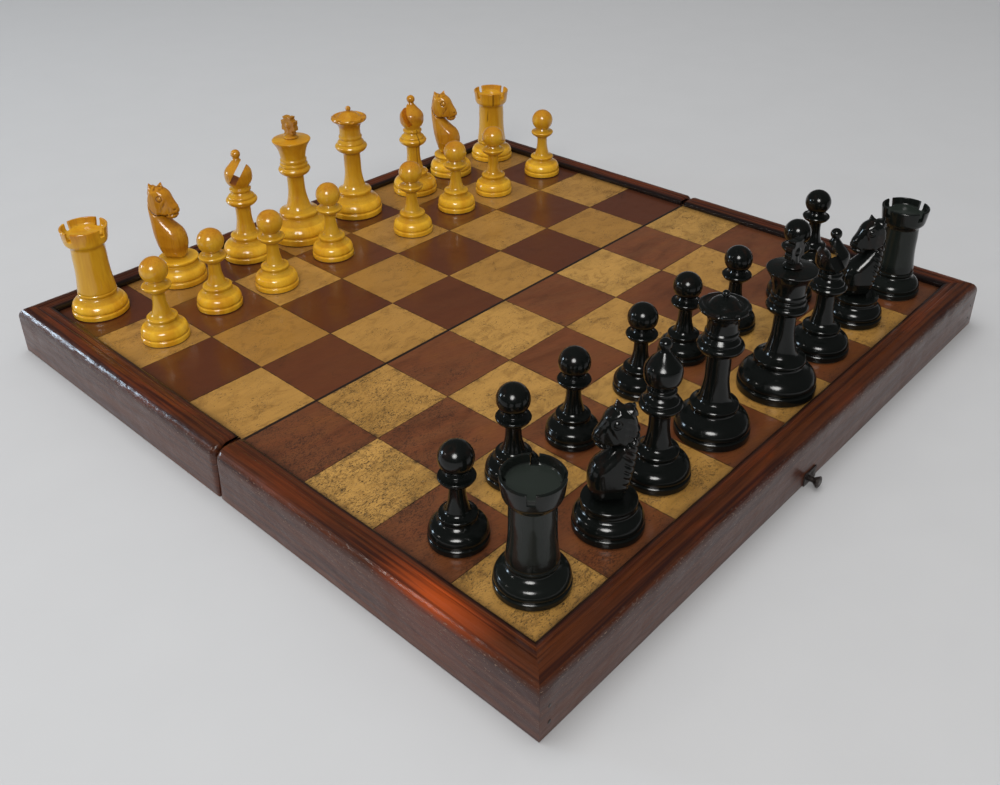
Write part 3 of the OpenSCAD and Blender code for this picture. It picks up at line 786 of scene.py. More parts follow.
class GAMESBOX_OT_squares(bpy.types.Operator):
    """The sixty-four veneer squares, darkened in a strip along the rails"""

    bl_idname = "games_box.squares"
    bl_label = "Squares"

    def execute(self, context):
        s = context.scene.games_box
        tree = tiles_tree()
        for half, side in HALVES:
            for parity, colour in enumerate(("light", "dark")):
                node = f"{half}_{colour}_squares"
                points = [((i - 3.5) * s.square, side * (3.5 - j) * s.square, FIELD - VENEER / 2)
                          for i in range(8) for j in range(4) if (i + j + (side > 0)) % 2 == parity]
                made = worked(solid(node + "_veneer", points), tree, Side=s.square - s.glue_line,
                              Thickness=VENEER, Tilt=0.0012, Seed=4 + parity + 2 * (side > 0), Finish=WOODS[colour])
                co = vertices(made)
                x, y = co[:, 0], co[:, 1]
                i, j = np.floor(co[:, :2] / s.square + 4).T
                turn = (i * 3 + j * 5) % 4
                mark(made, "grain", co + np.stack([i * 0.013 + turn * 0.2, j * 0.031, 0 * turn], 1))
                from_middle = np.maximum(np.abs(x), np.abs(y)) / MM
                left_side = np.clip((-x - 0.02) / 0.15, 0, 1) * (side < 0)
                worn_spot = np.clip(1 - np.hypot(x + 0.15, y + 0.06) / 0.09, 0, 1) * 0.1 if side < 0 else -0.03
                mark(made, "wear", np.clip((from_middle - 150) / 48, 0, 1) * 0.1 + left_side * 0.13 + worn_spot)
                # darker in a strip at the foot of the rails
                mark(made, "dirt_and_shade", np.clip((from_middle - 193) / 6, 0, 1) * 0.8)
                hue = np.sin(i * 12.9 + j * 78.2) * 0.5 + 0.5
                far_age, spread = (0.68, 0.3) if colour == "dark" else (0.42, 0.4)
                mark(made, "aged", hue * spread + (far_age if side > 0 else 0.0))
                settle(made, half + "_half", colour + "_veneer", node, colour)
        return {"FINISHED"}


class GAMESBOX_OT_trays(bpy.types.Operator):
    """Inside of the trays: board panels, backgammon points and the thin rails along the seam"""

    bl_idname = "games_box.trays"
    bl_label = "Trays"

    def execute(self, context):
        for half, side in HALVES:
            body = half + "_half"
            panel = softened(half + "_panel", 0.2 * MM, half + "_panel_board")
            settle(panel, body, "pine_panel", half + "_panel", "pine")
            for colour in ("light", "dark"):
                node = f"{half}_{colour}_points"
                inlay = softened(node, 0.05 * MM, node + "_inlay")
                co = vertices(inlay)
                mark(inlay, "grain", co)
                mark(inlay, "aged", np.full(len(co), 0.3))
                settle(inlay, body, colour + "_veneer", node, colour)
            centre = softened(half + "_centre_rail", 0.3 * MM, half + "_centre_rail_wood")
            co = vertices(centre)
            mark(centre, "grain", co + [0.2, 0.1, 0])
            mark(centre, "glow", np.full(len(co), 0.2))
            settle(centre, body, "moulding", half + "_centre_rail", "moulding")
        return {"FINISHED"}


# Metalwork


def heads(name, rows, tree, radius, rise, body, node, metal):
    """A group of like heads, from rows of a point and the way that its head faces."""
    points, facing = zip(*rows)
    made = solid(name, points)
    mark(made, "facing", facing)
    worked(made, tree, Radius=radius, Rise=rise, Finish=WOODS[metal])
    smooth(made, 60)
    settle(made, body, metal, node, metal)


class GAMESBOX_OT_metalwork(bpy.types.Operator):
    """Hinges with their pins and screws, the nails, and the hook latch"""

    bl_idname = "games_box.metalwork"
    bl_label = "Hinges, nails and latch"

    def execute(self, context):
        rows = [("near_hinge_leaves", 0.12, "near_half", "brass"), ("far_hinge_leaves", 0.12, "far_half", "brass"),
                ("hinge_pins", 0.15, "near_half", "iron"), ("latch_stud", 0.15, "near_half", "iron"),
                ("latch_hook", 0.3, "hook", "brass"), ("hook_knob", 0.2, "far_half", "brass")]
        for node, width, body, metal in rows:
            settle(softened(node, width * MM, node + "_metal", 35), body, metal, node, metal)
        tree = heads_tree()
        hinge_x, centre_rail_y, screw_y = 120 * MM, 4.4 * MM, 4.9 * MM
        for half, side in HALVES:
            nails, screws = [], []
            for x in (-1, 1):
                # sunk a little, so that no head stands out past the solids
                nails += [((x * (HALF - 0.22 * MM), side * centre_rail_y, RIM + z * MM), (x, 0, 0)) for z in (5, 16)]
                nails += [((x * (HALF - 6 * MM), side * HALF, RIM + z * MM), (0, side, 0)) for z in (7, 16)]
                # almost flush, because the rims close to 0.3 mm
                screws += [((x * hinge_x + off * MM, side * screw_y, RIM + 0.15 * MM), (0, 0, -1)) for off in (-16, 16)]
            body = half + "_half"
            heads(half + "_nail_heads", nails, tree, 1.05 * MM, 0.2, body, half + "_nails", "iron")
            heads(half + "_screw_heads", screws, tree, 1.65 * MM, 0.14, body, half + "_hinge_screws", "brass")
        return {"FINISHED"}


# Chessmen


def foot(r, s, h):
    """Baize, disc, quirk, squat bell and flared ring: rows of radius, height and bulge."""
    return [(0, 0), (r - 0.7, 0), (r - 0.6, 0.5), (r - 0.15, 0.55), (r, 0.8), (r, 0.2 * h), (r - 0.45, 0.235 * h),
            (0.945 * r, 0.245 * h), (0.95 * r, 0.265 * h), (0.98 * r, 0.31 * h), (0.965 * r, 0.42 * h, 0.1),
            (0.79 * r, 0.63 * h, 0.45), (0.95 * s, 0.75 * h, -0.25), (0.93 * s, 0.8 * h), (s - 0.15, 0.85 * h),
            (s, 0.88 * h), (s, 0.92 * h), (s - 0.4, 0.95 * h)]


PAWN = foot(14.1, 9, 16) + [
    (6.2, 16.2, -0.2), (5.3, 18, -0.15), (3.8, 28.5, -0.45), (3.9, 31), (6.4, 32.2, 0.3), (8.5, 34.4, 0.3),
    (8.7, 35), (8.3, 35.7), (5.2, 36.8, -0.4), (4.6, 38.2)]
ROOK = foot(17, 11.7, 16) + [
    (11.5, 16.2), (10.2, 38, -0.5), (10, 44.6), (10.7, 46.2), (12.4, 47.8), (12.9, 49.2), (14, 57.4), (13.7, 57.9),
    (12.6, 57.9), (12.1, 54.4), (11.4, 53.4), (6, 53.6), (0, 53.8)]
BISHOP = foot(17, 10.6, 17.5) + [
    (7.4, 18.2, -0.2), (6.5, 20.4, -0.2), (5.1, 33.5, -0.5), (5.2, 37), (7.6, 38.4, 0.2), (10.3, 41, 0.4),
    (10.5, 42), (9.9, 43), (8.7, 43.5), (8.3, 45.2, 0.3), (6.2, 47.6, -0.2), (7.1, 48.8), (7.1, 50), (6, 50.8),
    (6.4, 52), (9.1, 58.6, 0.8), (6.6, 65.2, 0.9), (2.5, 70, -0.1), (2.05, 71.2)]
QUEEN = foot(19.4, 12.4, 19.5) + [
    (8.8, 20.4, -0.2), (7.6, 23.6, -0.2), (6.2, 37, -0.5), (6.1, 46.6), (8.5, 48.2, 0.2), (11.4, 50.8, 0.4),
    (11.8, 52), (11.2, 53.2), (9.6, 54), (9.2, 56, 0.3), (7.9, 57.6), (8.5, 58.6), (8.4, 59.8), (7.7, 60.6),
    (7.5, 65.4), (8.1, 67.4), (12.3, 71.6, -0.5), (12.9, 72.8), (12.5, 74), (11, 74.5), (9.2, 73.7, -0.2),
    (7.8, 74.3, 0.2), (2.2, 77.7, 0.7), (1.15, 78.3)]
KING = foot(21.2, 13.8, 21.5) + [
    (9.2, 22.4, -0.2), (7.6, 26.4, -0.2), (5.9, 40, -0.5), (5.8, 46.4), (8.2, 47.6, 0.2), (10.8, 50.2, 0.4),
    (11.1, 51.2), (10.5, 52.4), (9.2, 53), (9.6, 54), (9.6, 55.2), (8.6, 56), (9.1, 57.2), (9.1, 58.4), (8.5, 59.2),
    (9.1, 62.8), (12.9, 71.4, -0.5), (13.2, 72.2), (12.8, 72.7), (4.2, 73.3), (4.1, 75, 0.9), (2.9, 76.2), (0, 76.8)]
KNIGHT_FOOT = foot(16.7, 13, 17.5) + [(9, 16.8), (0, 16.9)]


def ball(radius, height, under):
    """Profile points of a ball that starts where the profile already has the radius under."""
    start = math.asin(min(1, under / radius))
    return [(radius * math.sin(a), height - radius * math.cos(a)) for a in np.linspace(start, math.pi, 20)]


def men(kind):
    """The nodes of one kind of man, with their wood and a number of their own."""
    return [(node, "boxwood" if node.startswith("white") else "ebony", i + 1)
            for i, node in enumerate(sorted(frame["nodes"])) if f"_{kind}" in node]


def turned(name, rows, wood, tree, tail=()):
    """A turned piece in millimetres about its own axis, from profile rows and a plain tail of points."""
    line = eased(drawn(rows), 0.35) + [np.array(p, float) for p in tail]
    if line[-1][0] > 1e-6:
        line.append(np.array([0.0, line[-1][1]]))
    line = np.array(line) * MM
    line = line[np.concatenate([[True], np.hypot(*np.diff(line, axis=0).T) > 2e-6])]
    line[0][0] = line[-1][0] = 0.0
    made = solid(name, [(x, 0, z) for x, z in line], (), [(i, i + 1) for i in range(len(line) - 1)])
    return worked(made, tree, Steps=bpy.context.scene.games_men.steps, Finish=WOODS[wood])


def carve(obj, cutter):
    """Cuts another solid out of one, and takes it away."""
    step = obj.modifiers.new("cut", "BOOLEAN")
    step.operation, step.solver, step.object = "DIFFERENCE", "EXACT", cutter
    plain(obj)
    bpy.data.objects.remove(cutter)


def block(size, centre):
    """A cutter block in millimetres."""
    x, y, z = (0.5 * v * MM for v in size)
    corners = [(a * x, b * y, c * z) for a in (-1, 1) for b in (-1, 1) for c in (-1, 1)]
    faces = [(0, 1, 3, 2), (4, 6, 7, 5), (0, 4, 5, 1), (2, 3, 7, 6), (0, 2, 6, 4), (1, 5, 7, 3)]
    made = solid("cutter", corners, faces)
    made.data.transform(Matrix.Translation(Vector(centre) * MM))
    return made


def hollows(obj):
    """How far each vertex lies below its neighbours, in millimetres, evened out a little."""
    mesh = obj.data
    pair, normal = np.zeros(len(mesh.edges) * 2, np.int32), np.zeros(len(mesh.vertices) * 3, np.float32)
    mesh.edges.foreach_get("vertices", pair)
    mesh.vertices.foreach_get("normal", normal)
    a, b = pair[::2], pair[1::2]
    count = np.maximum(np.bincount(pair, minlength=len(mesh.vertices)), 1)

    def mean(values):
        return np.stack([(np.bincount(a, v[b], len(v)) + np.bincount(b, v[a], len(v))) / count for v in values.T], 1)

    co = vertices(obj) / MM
    depth = ((mean(mean(co)) - co) * normal.reshape(-1, 3)).sum(1)
    return mean(mean(depth[:, None]))[:, 0]


def dirt_and_shade_on(obj, node, x, y, z, r, glow_from):
    """How much each vertex of a man is darkened, by dirt and by painted shade; all lengths are in millimetres."""
    rows, row, reach = 400, 0.25, 6
    slots = np.clip((z / row).astype(int), 0, rows - 1)
    widest = np.array([r[slots == k].max() if (slots == k).any() else 0 for k in range(rows)])
    around = np.array([widest[max(0, k - reach):k + reach + 1].max() for k in range(rows)])[slots]
    # painted shade, with gathered polish, where the turned outline steps in
    dirt_and_shade = np.clip((around - r - 0.9) / 2.4, 0, 0.35) * (r > 0.5 * around) * (z < min(glow_from, 50))
    # narrow parts above the foot are darker: painted shade on the stems, and dirt
    dirt_and_shade = np.maximum(dirt_and_shade, np.clip(0.9 - r / r.max(), 0, 0.22) * (z > 12))
    # a carved head is a little darker all over, with painted shade in its hollows
    if "knight" in node:
        dirt_and_shade = np.maximum(dirt_and_shade, np.clip(hollows(obj) / 0.03 + 0.22, 0.22, 0.85) * (z > 17.5))
    if "king" in node:
        dirt_and_shade = np.maximum(dirt_and_shade, (z > 75) * 0.45)
    for angle, low, high, width in CRACKS.get(node, ()):
        off = np.abs((np.arctan2(y, x) - angle + math.pi) % (2 * math.pi) - math.pi) * np.maximum(r, 1)
        dirt_and_shade = np.maximum(dirt_and_shade, (off < width) * ((z > low) & (z < high)) * 0.9)
    return dirt_and_shade


def stand(obj, node, wood, glow_from, seed):
    """Marks the finish's places, puts the man on its square, and makes it ride with its solid's body."""
    sizes = bpy.context.scene.games_men
    co = vertices(obj)
    x, y, z = co.T / MM
    r = np.hypot(x, y)
    mark(obj, "grain", co + [seed * 0.043, seed * 0.017, seed * 0.029])
    mark(obj, "glow", np.clip((z - glow_from) / 5, 0, 1) * 0.9)
    dust_and_sheen = np.full(len(z), 0.06)
    # a rook's crown floor and stem: grey dust, with painted sheen
    if "rook" in node:
        crown, stem = (z > 53) & (r < 11.6), (z > 20) & (z < 45)
        dust_and_sheen = np.where(crown, 0.9, np.where(stem, 0.5, 0.2))
    mark(obj, "dust_and_sheen", dust_and_sheen)
    mark(obj, "dirt_and_shade", dirt_and_shade_on(obj, node, x, y, z, r, glow_from))
    obj.data.transform(home_of(node, seed) @ Matrix.Scale(sizes.size, 4))
    cut = "boxwood_cut" if wood == "boxwood" else "ebony"
    settle(obj, node + "_man", wood, node, wood, "baize", cut)
    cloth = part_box(node)[0].z + sizes.baize + 0.02 * MM
    for face in obj.data.polygons:
        face.material_index = 1 if face.center.z < cloth else 0
    smooth(obj, 34)


def home_of(node, seed):
    """Where a man stands and how it is turned."""
    low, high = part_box(node)
    heading = math.radians(HEADINGS[node]) if node in HEADINGS else seed * 1.7
    centre = Vector(((low.x + high.x) / 2, (low.y + high.y) / 2, low.z))
    return Matrix.Translation(centre) @ Matrix.Rotation(heading, 4, "Z")


class GAMESBOX_OT_pawns(bpy.types.Operator):
    """Sixteen pawns"""

    bl_idname = "games_box.pawns"
    bl_label = "Pawns"

    def execute(self, context):
        tree = turning_tree()
        for node, wood, seed in men("pawn"):
            made = turned(node + "_turned", PAWN, wood, tree, ball(8.15, 44.8, 4.7))
            stand(made, node, wood, 46, seed)
        return {"FINISHED"}


class GAMESBOX_OT_rooks(bpy.types.Operator):
    """Four rooks with saw-cut crowns"""

    bl_idname = "games_box.rooks"
    bl_label = "Rooks"

    def execute(self, context):
        tree = turning_tree()
        for node, wood, seed in men("rook"):
            made = turned(node + "_turned", ROOK, wood, tree)
            for quarter in range(4):
                notch = block((10, 3.6, 20), (15.8, 0, 62.2))
                notch.data.transform(Matrix.Rotation(quarter * math.pi / 2, 4, "Z"))
                carve(made, notch)
            stand(made, node, wood, 52, seed)
        return {"FINISHED"}


class GAMESBOX_OT_bishops(bpy.types.Operator):
    """Four bishops with slit mitres, three of them opened wide"""

    bl_idname = "games_box.bishops"
    bl_label = "Bishops"

    def execute(self, context):
        tree, skin = turning_tree(), 0.02 * MM
        lean = Matrix.Translation(Vector((-3.1, 0, 55)) * MM) @ Matrix.Rotation(math.radians(31), 4, "Y")
        for node, wood, seed in men("bishop"):
            made = turned(node + "_turned", BISHOP, wood, tree, ball(3.1, 73.6, 2.1))
            low, high = SLOTS.get(node, SAW_CUT)
            size = (high - low, 24, 20)
            cutter = block(size, ((low + high) / 2, 0, 10))
            cutter.data.transform(lean)
            carve(made, cutter)
            stand(made, node, wood, 54, seed)
            # the walls of the slot are bare wood
            back = (home_of(node, seed) @ lean).inverted()
            for face in made.data.polygons:
                spot = back @ face.center - Vector((low, -12, 0)) * MM
                if all(-skin < spot[k] < size[k] * MM + skin for k in range(3)):
                    face.material_index = 2
        return {"FINISHED"}


class GAMESBOX_OT_queens(bpy.types.Operator):
    """Two queens with scalloped coronets"""

    bl_idname = "games_box.queens"
    bl_label = "Queens"

    def execute(self, context):
        tree, cuts = turning_tree(), coronet_tree()
        for node, wood, seed in men("queen"):
            made = turned(node + "_turned", QUEEN, wood, tree, ball(1.9, 79.8, 1.15))
            worked(made, cuts, Points=context.scene.games_men.coronet, Finish=WOODS[wood])
            stand(made, node, wood, 64, seed)
        return {"FINISHED"}


class GAMESBOX_OT_kings(bpy.types.Operator):
    """Two kings with carved crosses"""

    bl_idname = "games_box.kings"
    bl_label = "Kings"

    def execute(self, context):
        tree = turning_tree()
        for node, wood, seed in men("king"):
            made = turned(node + "_turned", KING, wood, tree)
            join(made, shell(cross_field, (-8, -4, 74.6), (8, 4, 90.2), 0.3, node + "_cross", 3))
            stand(made, node, wood, 70, seed)
        return {"FINISHED"}


# Carved shapes


def shell(field, low, high, step, name, rounds):
    """The closed surface on which a field of millimetres is zero, found on a grid and smoothed."""
    axes = [np.arange(a, b + step, step) for a, b in zip(low, high)]
    value = field(*np.meshgrid(*axes, indexing="ij"))
    cells = tuple(n - 1 for n in value.shape)
    total, hits = np.zeros(cells + (3,)), np.zeros(cells)
    node = np.stack(np.meshgrid(*[np.arange(n) for n in value.shape], indexing="ij"), -1).astype(float)
    crossing = []
    for k in range(3):
        m, n = (k + 1) % 3, (k + 2) % 3
        first, second = [slice(None)] * 3, [slice(None)] * 3
        first[k], second[k] = slice(0, -1), slice(1, None)
        a, b = value[tuple(first)], value[tuple(second)]
        cross = (a < 0) != (b < 0)
        spot = node[tuple(first)].copy()
        spot[..., k] += np.where(cross, a / np.where(cross, a - b, 1), 0)
        crossing.append((cross, a < 0, m, n))
        for om, on in ((0, 0), (0, 1), (1, 0), (1, 1)):
            part = [slice(None)] * 3
            part[m], part[n] = slice(om, om + cells[m]), slice(on, on + cells[n])
            part = tuple(part)
            total += np.where(cross[part][..., None], spot[part], 0)
            hits += cross[part]
    used = hits > 0
    number = np.full(cells, -1)
    number[used] = np.arange(used.sum())
    points = total[used] / hits[used][:, None] * step + np.array(low)
    faces = []
    for cross, lower, m, n in crossing:
        inner = [slice(None)] * 3
        inner[m] = inner[n] = slice(1, -1)
        found = np.argwhere(cross[tuple(inner)])
        found[:, [m, n]] += 1
        corners = []
        for om, on in ((-1, -1), (0, -1), (0, 0), (-1, 0)):
            at = found.copy()
            at[:, m] += om
            at[:, n] += on
            corners.append(number[tuple(at.T)])
        quads, above = np.stack(corners, 1), ~lower[tuple(found.T)]
        quads[above] = quads[above][:, ::-1]
        faces.append(quads)
    made = solid(name, points * MM, np.concatenate(faces))
    ease = made.modifiers.new("ease", "SMOOTH")
    ease.factor, ease.iterations = 0.5, rounds
    return plain(made)


def cross_field(x, y, z):
    """A king's cross worn to a lumpy knob: short flared arms with notched ends; negative inside."""
    z = z - 82.4
    across, up = np.abs(x), np.abs(z)
    arm_x = np.maximum(across - 5.5, up - (1.9 + 0.30 * across))
    arm_z = np.maximum(up - 6.3, across - (1.9 + 0.30 * up))
    disc = np.hypot(x, z) - 5.4
    flat = np.maximum(np.minimum(np.minimum(arm_x, arm_z), disc), np.abs(y) - (1.8 + 0.05 * (across + up)))
    for notch in (np.hypot(across - 6.0, up), np.hypot(across, up - 6.8), np.hypot(across - 4.4, up - 4.4)):
        flat = np.maximum(flat, 0.9 - notch)
    neck = np.maximum(np.hypot(x, y) - (2.3 + 0.05 * (z + 3) ** 2), np.maximum(z + 1, -(z + 7.2)))
    return np.minimum(np.minimum(flat, np.sqrt(x * x + y * y + z * z) - 3.0), neck)


def outline_distance(points, x, z):
    """Signed distance in the side view to a closed outline, negative inside."""
    points = np.asarray(points, float)
    near = np.full(x.shape, 1e9)
    odd = np.zeros(x.shape, bool)
    for (ax, az), (bx, bz) in zip(points, np.roll(points, -1, 0)):
        dx, dz = bx - ax, bz - az
        t = np.clip(((x - ax) * dx + (z - az) * dz) / max(dx * dx + dz * dz, 1e-12), 0, 1)
        near = np.minimum(near, np.hypot(x - ax - t * dx, z - az - t * dz))
        if az != bz:
            odd ^= ((az > z) != (bz > z)) & (x < (bx - ax) * (z - az) / (bz - az) + ax)
    return np.where(odd, -near, near)


HORSE = [(4.6, 16.2), (7.4, 22.5, 0.5), (8.2, 29.5, 0.25), (5.2, 37.4, 0.7), (-4.4, 46.4, -0.5), (-2.6, 46.2),
         (-0.6, 44.6), (1.6, 43.9), (4, 44.6), (5.6, 46.6), (5.2, 47.7), (6.5, 48.6), (6.6, 50.4), (5.9, 52.8),
         (2.6, 58.6, -0.2), (0.2, 62.4, 0.3), (-2.4, 64.6), (-3.7, 68.8), (-5.6, 66.2), (-7, 65), (-8.9, 65.6),
         (-11.1, 68.2), (-12.1, 64.6), (-13.9, 43, 1.3), (-9.8, 21.5, 0.6), (-7.6, 16.2)]


def bumps(distance, width):
    return np.exp(-(distance / width) ** 2)


def rise(value, start, length):
    """From 0 to 1 over a length, or from 1 to 0 where the length is negative."""
    return np.clip((value - start) / length, 0, 1)


def knight_field(mane, near):
    """The carved head and neck of a knight, nose towards +x; near is the side of its rearward ear."""

    def field(x, y, z):
        side = np.abs(y)
        edge = outline_distance(drawn(HORSE, 6), x, z)
        inside = np.clip(-edge, 0, 9)
        # head in front of the jaw, neck behind it
        jaw = np.hypot((x + 4.2) / 1.02, z - 55.4) - 8.6
        head = 1 / (1 + np.exp(np.clip(np.where((x > -2) & (z > 44), -4.0, jaw) / 0.35, -30, 30)))
        neck_wide = np.interp(z, [16, 19, 26, 34, 42, 50, 58, 64, 69], [5.6, 6.6, 7.9, 7.6, 6.3, 5.3, 4.9, 4.4, 4.4])
        muzzle = np.interp(x, [-12, -6, -2, 2, 4.5, 6.6], [4.4, 5.8, 5.7, 4.1, 3.7, 3.1])
        head_wide = np.minimum(muzzle, np.interp(z, [44, 48, 60, 64, 69], [4.6, 5.8, 5.6, 4.6, 4.7]))
        wide = neck_wide * (1 - head) + head_wide * head
        blunt = np.clip(inside / (5.5 - 2.2 * head), 0, 1)
        body = side - wide * np.sqrt(np.clip(1 - (1 - blunt) ** 2.2, 0, 1))
        # a ridge down the breast
        body = body + 0.9 * (1 - head) * rise(x, 1.5, 5) * rise(z, 46, -6) * np.clip(side / 5, 0, 1)
        body = np.maximum(body, edge)
        ear = np.where(x < -7.4, near, -near) * 2.5
        body = np.maximum(body, np.where(z > 65, np.abs(y - ear) - 0.5 - 0.5 * (69.4 - z), -9.0))
        # eye and brow, nostril, mouth, cheek and the line down the face
        eye = np.hypot(x + 3.2, z - 58.6)
        cut = 0.5 * bumps(eye - 1.75, 0.45) - 0.3 * bumps(eye, 1.0) + 0.3 * bumps(np.hypot(x + 1.6, z - 60.4), 1.4)
        cut = cut + 0.8 * bumps(np.hypot((x - 5) / 0.8, (z - 51.2) / 0.7), 1.0)
        cut = cut + 0.75 * bumps(z - 47.9 - 0.12 * (x - 5), 0.42) * rise(x, 1.4, 1)
        cut = cut + 1.1 * bumps(jaw - 0.4, 0.6) * (x < 0.5) * rise(z, 62, -4)
        cut = cut + 0.4 * bumps(x + 2.4 - 0.5 * (z - 52), 1.1) * bumps(z - 53, 4) * head
        if mane:
            behind = rise(x, -6.2, -2.4) * rise(z, 22, 3) * (1 - 0.7 * head)
            locks = np.clip(np.sin((z - 0.75 * x) * 1.75), 0, 1) ** 1.2
            cut = cut + behind * locks + 0.8 * locks * bumps(edge, 1.2) * (x < -8)
        return body + (cut if mane else cut * np.clip(side / 1.2, 0, 1))

    return field


class GAMESBOX_OT_knights(bpy.types.Operator):
    """Four carved knights on turned feet"""

    bl_idname = "games_box.knights"
    bl_label = "Knights"

    def execute(self, context):
        tree = turning_tree()
        step = context.scene.games_men.carving / MM
        for node, wood, seed in men("knight"):
            made = turned(node + "_carved", KNIGHT_FOOT, wood, tree)
            black = wood == "ebony"
            field = knight_field(black, 1 if black else -1)
            head = shell(field, (-17, -10, 15.6), (11, 10, 71), step, node + "_head", 2)
            if black:
                # the black heads lean further forward than the solid
                head.data.transform(Matrix.Translation((2.4 * MM, 0, 0)))
            join(made, head)
            stand(made, node, wood, 18, seed)
        return {"FINISHED"}


# Stage


def table_top(s):
    """A pale floor, with painted light that makes it a little lighter away from the box."""
    reach = 6
    floor = solid("table_top", [(x, y, RIM) for x, y in ((-reach, -reach), (reach, -reach), (reach, reach),
                                                         (-reach, reach))], [(0, 1, 2, 3)])
    f = Finish("table_top")
    paper = f.noise(f.object_place(), 0.02, 3)
    colour = f.mix(f.span(paper, 0.3, 0.7), shade(s.floor, 0.98), s.floor)
    away = f.put("VectorMath", {"operation": "LENGTH"}, i0=f.object_place()).outputs["Value"]
    # painted light: lighter further from the box
    colour = f.mix(f.span(away, 0.4, 2.4), colour, shade(s.floor, 1.13))
    floor.data.materials.append(f.done(Base_Color=colour, Roughness=0.6))


def pale_room(scene, s):
    """An even world; polish mirrors a dark room with a pale backdrop low down behind the board."""
    world = bpy.data.worlds.new("pale_room")
    scene.world = world
    world.use_nodes = True
    tree = world.node_tree
    tree.nodes.clear()

    def ranged(value, **ends):
        return put(tree, "ShaderNodeMapRange", Value=value, **ends).outputs[0]

    way = put(tree, "ShaderNodeTexCoord").outputs["Generated"]
    ahead = put(tree, "ShaderNodeVectorMath", {"operation": "DOT_PRODUCT"}, i0=way, i1=(0.73, 0.68, 0.0))
    height = put(tree, "ShaderNodeSeparateXYZ", Vector=way).outputs[2]
    low = ranged(height, From_Min=0.12, From_Max=0.3, To_Min=0.45, To_Max=0.0)
    behind = ranged(ahead.outputs["Value"], From_Min=0.1, From_Max=0.6)
    sheet = calc(tree, "MULTIPLY", calc(tree, "MULTIPLY", low, behind), s.ambient)
    room = calc(tree, "MAXIMUM", sheet, s.mirrored)
    seen = put(tree, "ShaderNodeLightPath").outputs["Is Glossy Ray"]
    glow = put(tree, "ShaderNodeBackground", Color=(0.98, 0.99, 1.0, 1),
               Strength=ranged(seen, To_Min=s.ambient, To_Max=room))
    tree.links.new(glow.outputs[0], tree.nodes.new("ShaderNodeOutputWorld").inputs[0])


def lamp(name, power, size, place, aim, colour, mirrored=True, lights=True):
    """A round lamp; not mirrored, it doesn't show in polish, and without lights it only shows there."""
    light = bpy.data.lights.new(name, "AREA")
    light.energy, light.size, light.color, light.shape = power, size, colour, "DISK"
    made = linked(name, light)
    made.location = place
    made.rotation_mode = "QUATERNION"
    made.rotation_quaternion = (Vector(place) - Vector(aim)).to_track_quat("Z", "Y")
    made.visible_glossy, made.visible_diffuse = mirrored, lights
    return made


def lamps(scene, s):
    """Key lamp, its softbox in the men's polish, side lamp, top lamp and a cool window."""
    board, key_place = (0, 0, 0.03), (-1.22, -0.84, 1.15)
    lamp("key_lamp", s.key, 0.42, key_place, board, (1.0, 0.98, 0.95))
    catch = lamp("catch_lamp", s.catch, 0.8, key_place, board, (1.0, 0.99, 0.97), lights=False)
    # light linking keeps the softbox off the board, so the men have to be there already
    polished = bpy.data.collections.new("polished_men")
    for obj in scene.objects:
        if obj.name.startswith(("white_", "black_")):
            polished.objects.link(obj)
    catch.light_linking.receiver_collection = polished
    lamp("side_lamp", s.side, 0.14, (-1.5, 0.85, 0.9), board, (1.0, 0.96, 0.9))
    lamp("top_lamp", s.top, 1.4, (-0.2, 0.25, 1.7), (0, 0, 0), (1, 1, 1), mirrored=False)
    lamp("window_lamp", s.window, 0.34, (-1.05, 1.55, 0.42), (-0.2, 0.1, 0.03), (0.66, 0.84, 1.0))


def photo_camera(scene):
    """The camera at the photograph's place, solved from the crossings of the board's squares."""
    camera = bpy.data.cameras.new("camera")
    camera.lens, camera.sensor_width = 36.651, 36.0
    camera.shift_y = -0.0925
    camera.clip_start, camera.clip_end = 0.02, 30
    made = linked("camera", camera)
    right = Vector((0.679004, -0.734075, -0.009359))
    up = Vector((0.360747, 0.322526, 0.875122))
    turn = Matrix((right, up, right.cross(up))).transposed().to_4x4()
    made.matrix_world = Matrix.Translation((-0.41407, -0.38298, 0.34069)) @ turn
    scene.camera = made


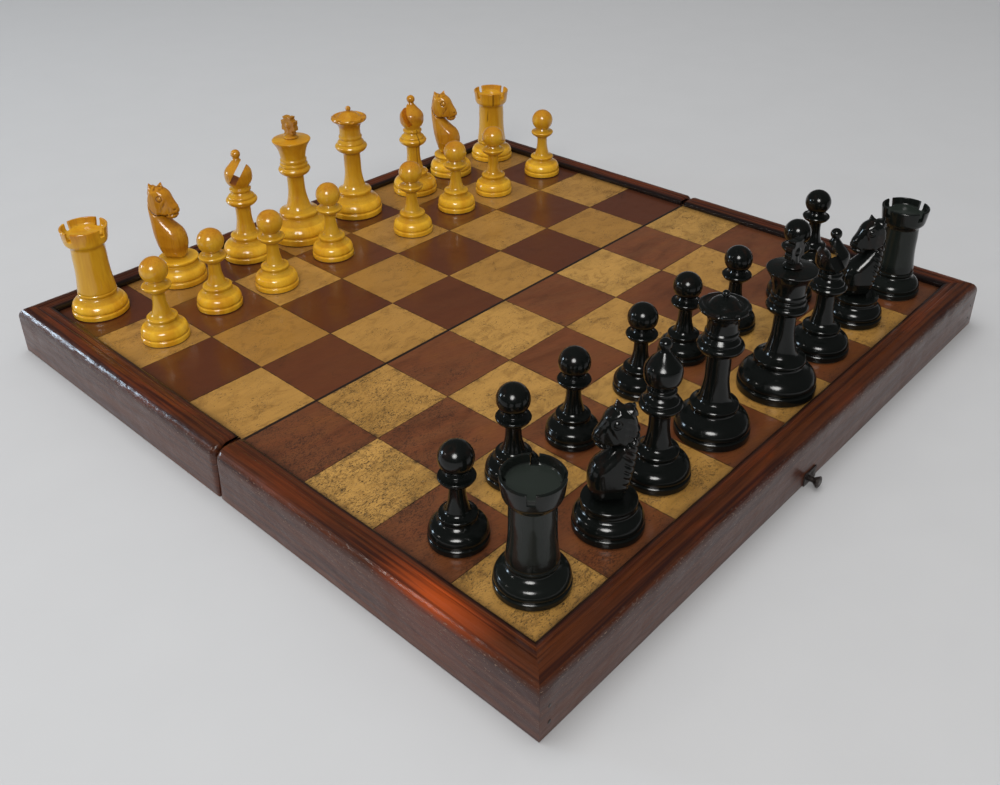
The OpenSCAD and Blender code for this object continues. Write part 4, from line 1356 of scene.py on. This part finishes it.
class GAMESBOX_OT_stage(bpy.types.Operator):
    """Pale table top, soft lamps and the camera"""

    bl_idname = "games_box.stage"
    bl_label = "Stage"

    def execute(self, context):
        scene, s = context.scene, context.scene.games_stage
        table_top(s)
        pale_room(scene, s)
        lamps(scene, s)
        photo_camera(scene)
        scene.view_settings.view_transform = "Standard"
        return {"FINISHED"}


# Panel and registration


class GAMESBOX_PT_panel(bpy.types.Panel):
    """Lists the steps that dress the games box"""

    bl_label = "Games box"
    bl_idname = "GAMESBOX_PT_panel"
    bl_space_type = "VIEW_3D"
    bl_region_type = "UI"
    bl_category = "Games box"

    def draw(self, context):
        for operator in OPERATORS:
            self.layout.operator(operator.bl_idname)
        for group, kind in GROUPS:
            for name in kind.__annotations__:
                self.layout.prop(getattr(context.scene, group), name)


GROUPS = (("games_box", BoxSizes), ("games_men", MenSizes), ("games_finishes", Finishes),
          ("games_stage", StageSettings))
# the stage comes last, because its softbox is linked to the men
OPERATORS = (GAMESBOX_OT_rails, GAMESBOX_OT_squares, GAMESBOX_OT_trays, GAMESBOX_OT_metalwork,
             GAMESBOX_OT_pawns, GAMESBOX_OT_rooks, GAMESBOX_OT_bishops, GAMESBOX_OT_queens, GAMESBOX_OT_kings,
             GAMESBOX_OT_knights, GAMESBOX_OT_stage)


def register():
    for name, group in GROUPS:
        bpy.utils.register_class(group)
        setattr(bpy.types.Scene, name, bpy.props.PointerProperty(type=group))
    for item in OPERATORS + (GAMESBOX_PT_panel,):
        bpy.utils.register_class(item)


def unregister():
    for item in reversed(OPERATORS + (GAMESBOX_PT_panel,)):
        bpy.utils.unregister_class(item)
    for name, group in reversed(GROUPS):
        delattr(bpy.types.Scene, name)
        bpy.utils.unregister_class(group)


def main():
    register()
    c = colours()
    WOODS.update(moulding=moulding_finish(), light=light_finish(), dark=dark_finish(), boxwood=boxwood_finish(),
                 boxwood_cut=boxwood_finish(True), ebony=ebony_finish(), pine=pine_finish(), baize=baize_finish(),
                 brass=metal_finish("old_brass", c.brass, (0.12, 0.07, 0.03), 0.9, 0.05),
                 iron=metal_finish("blackened_iron", c.iron, (0.03, 0.02, 0.018), 0.7, 0.08))
    for operator in OPERATORS:
        group, name = operator.bl_idname.split(".")
        getattr(getattr(bpy.ops, group), name)()


if __name__ == "__main__":
    main()
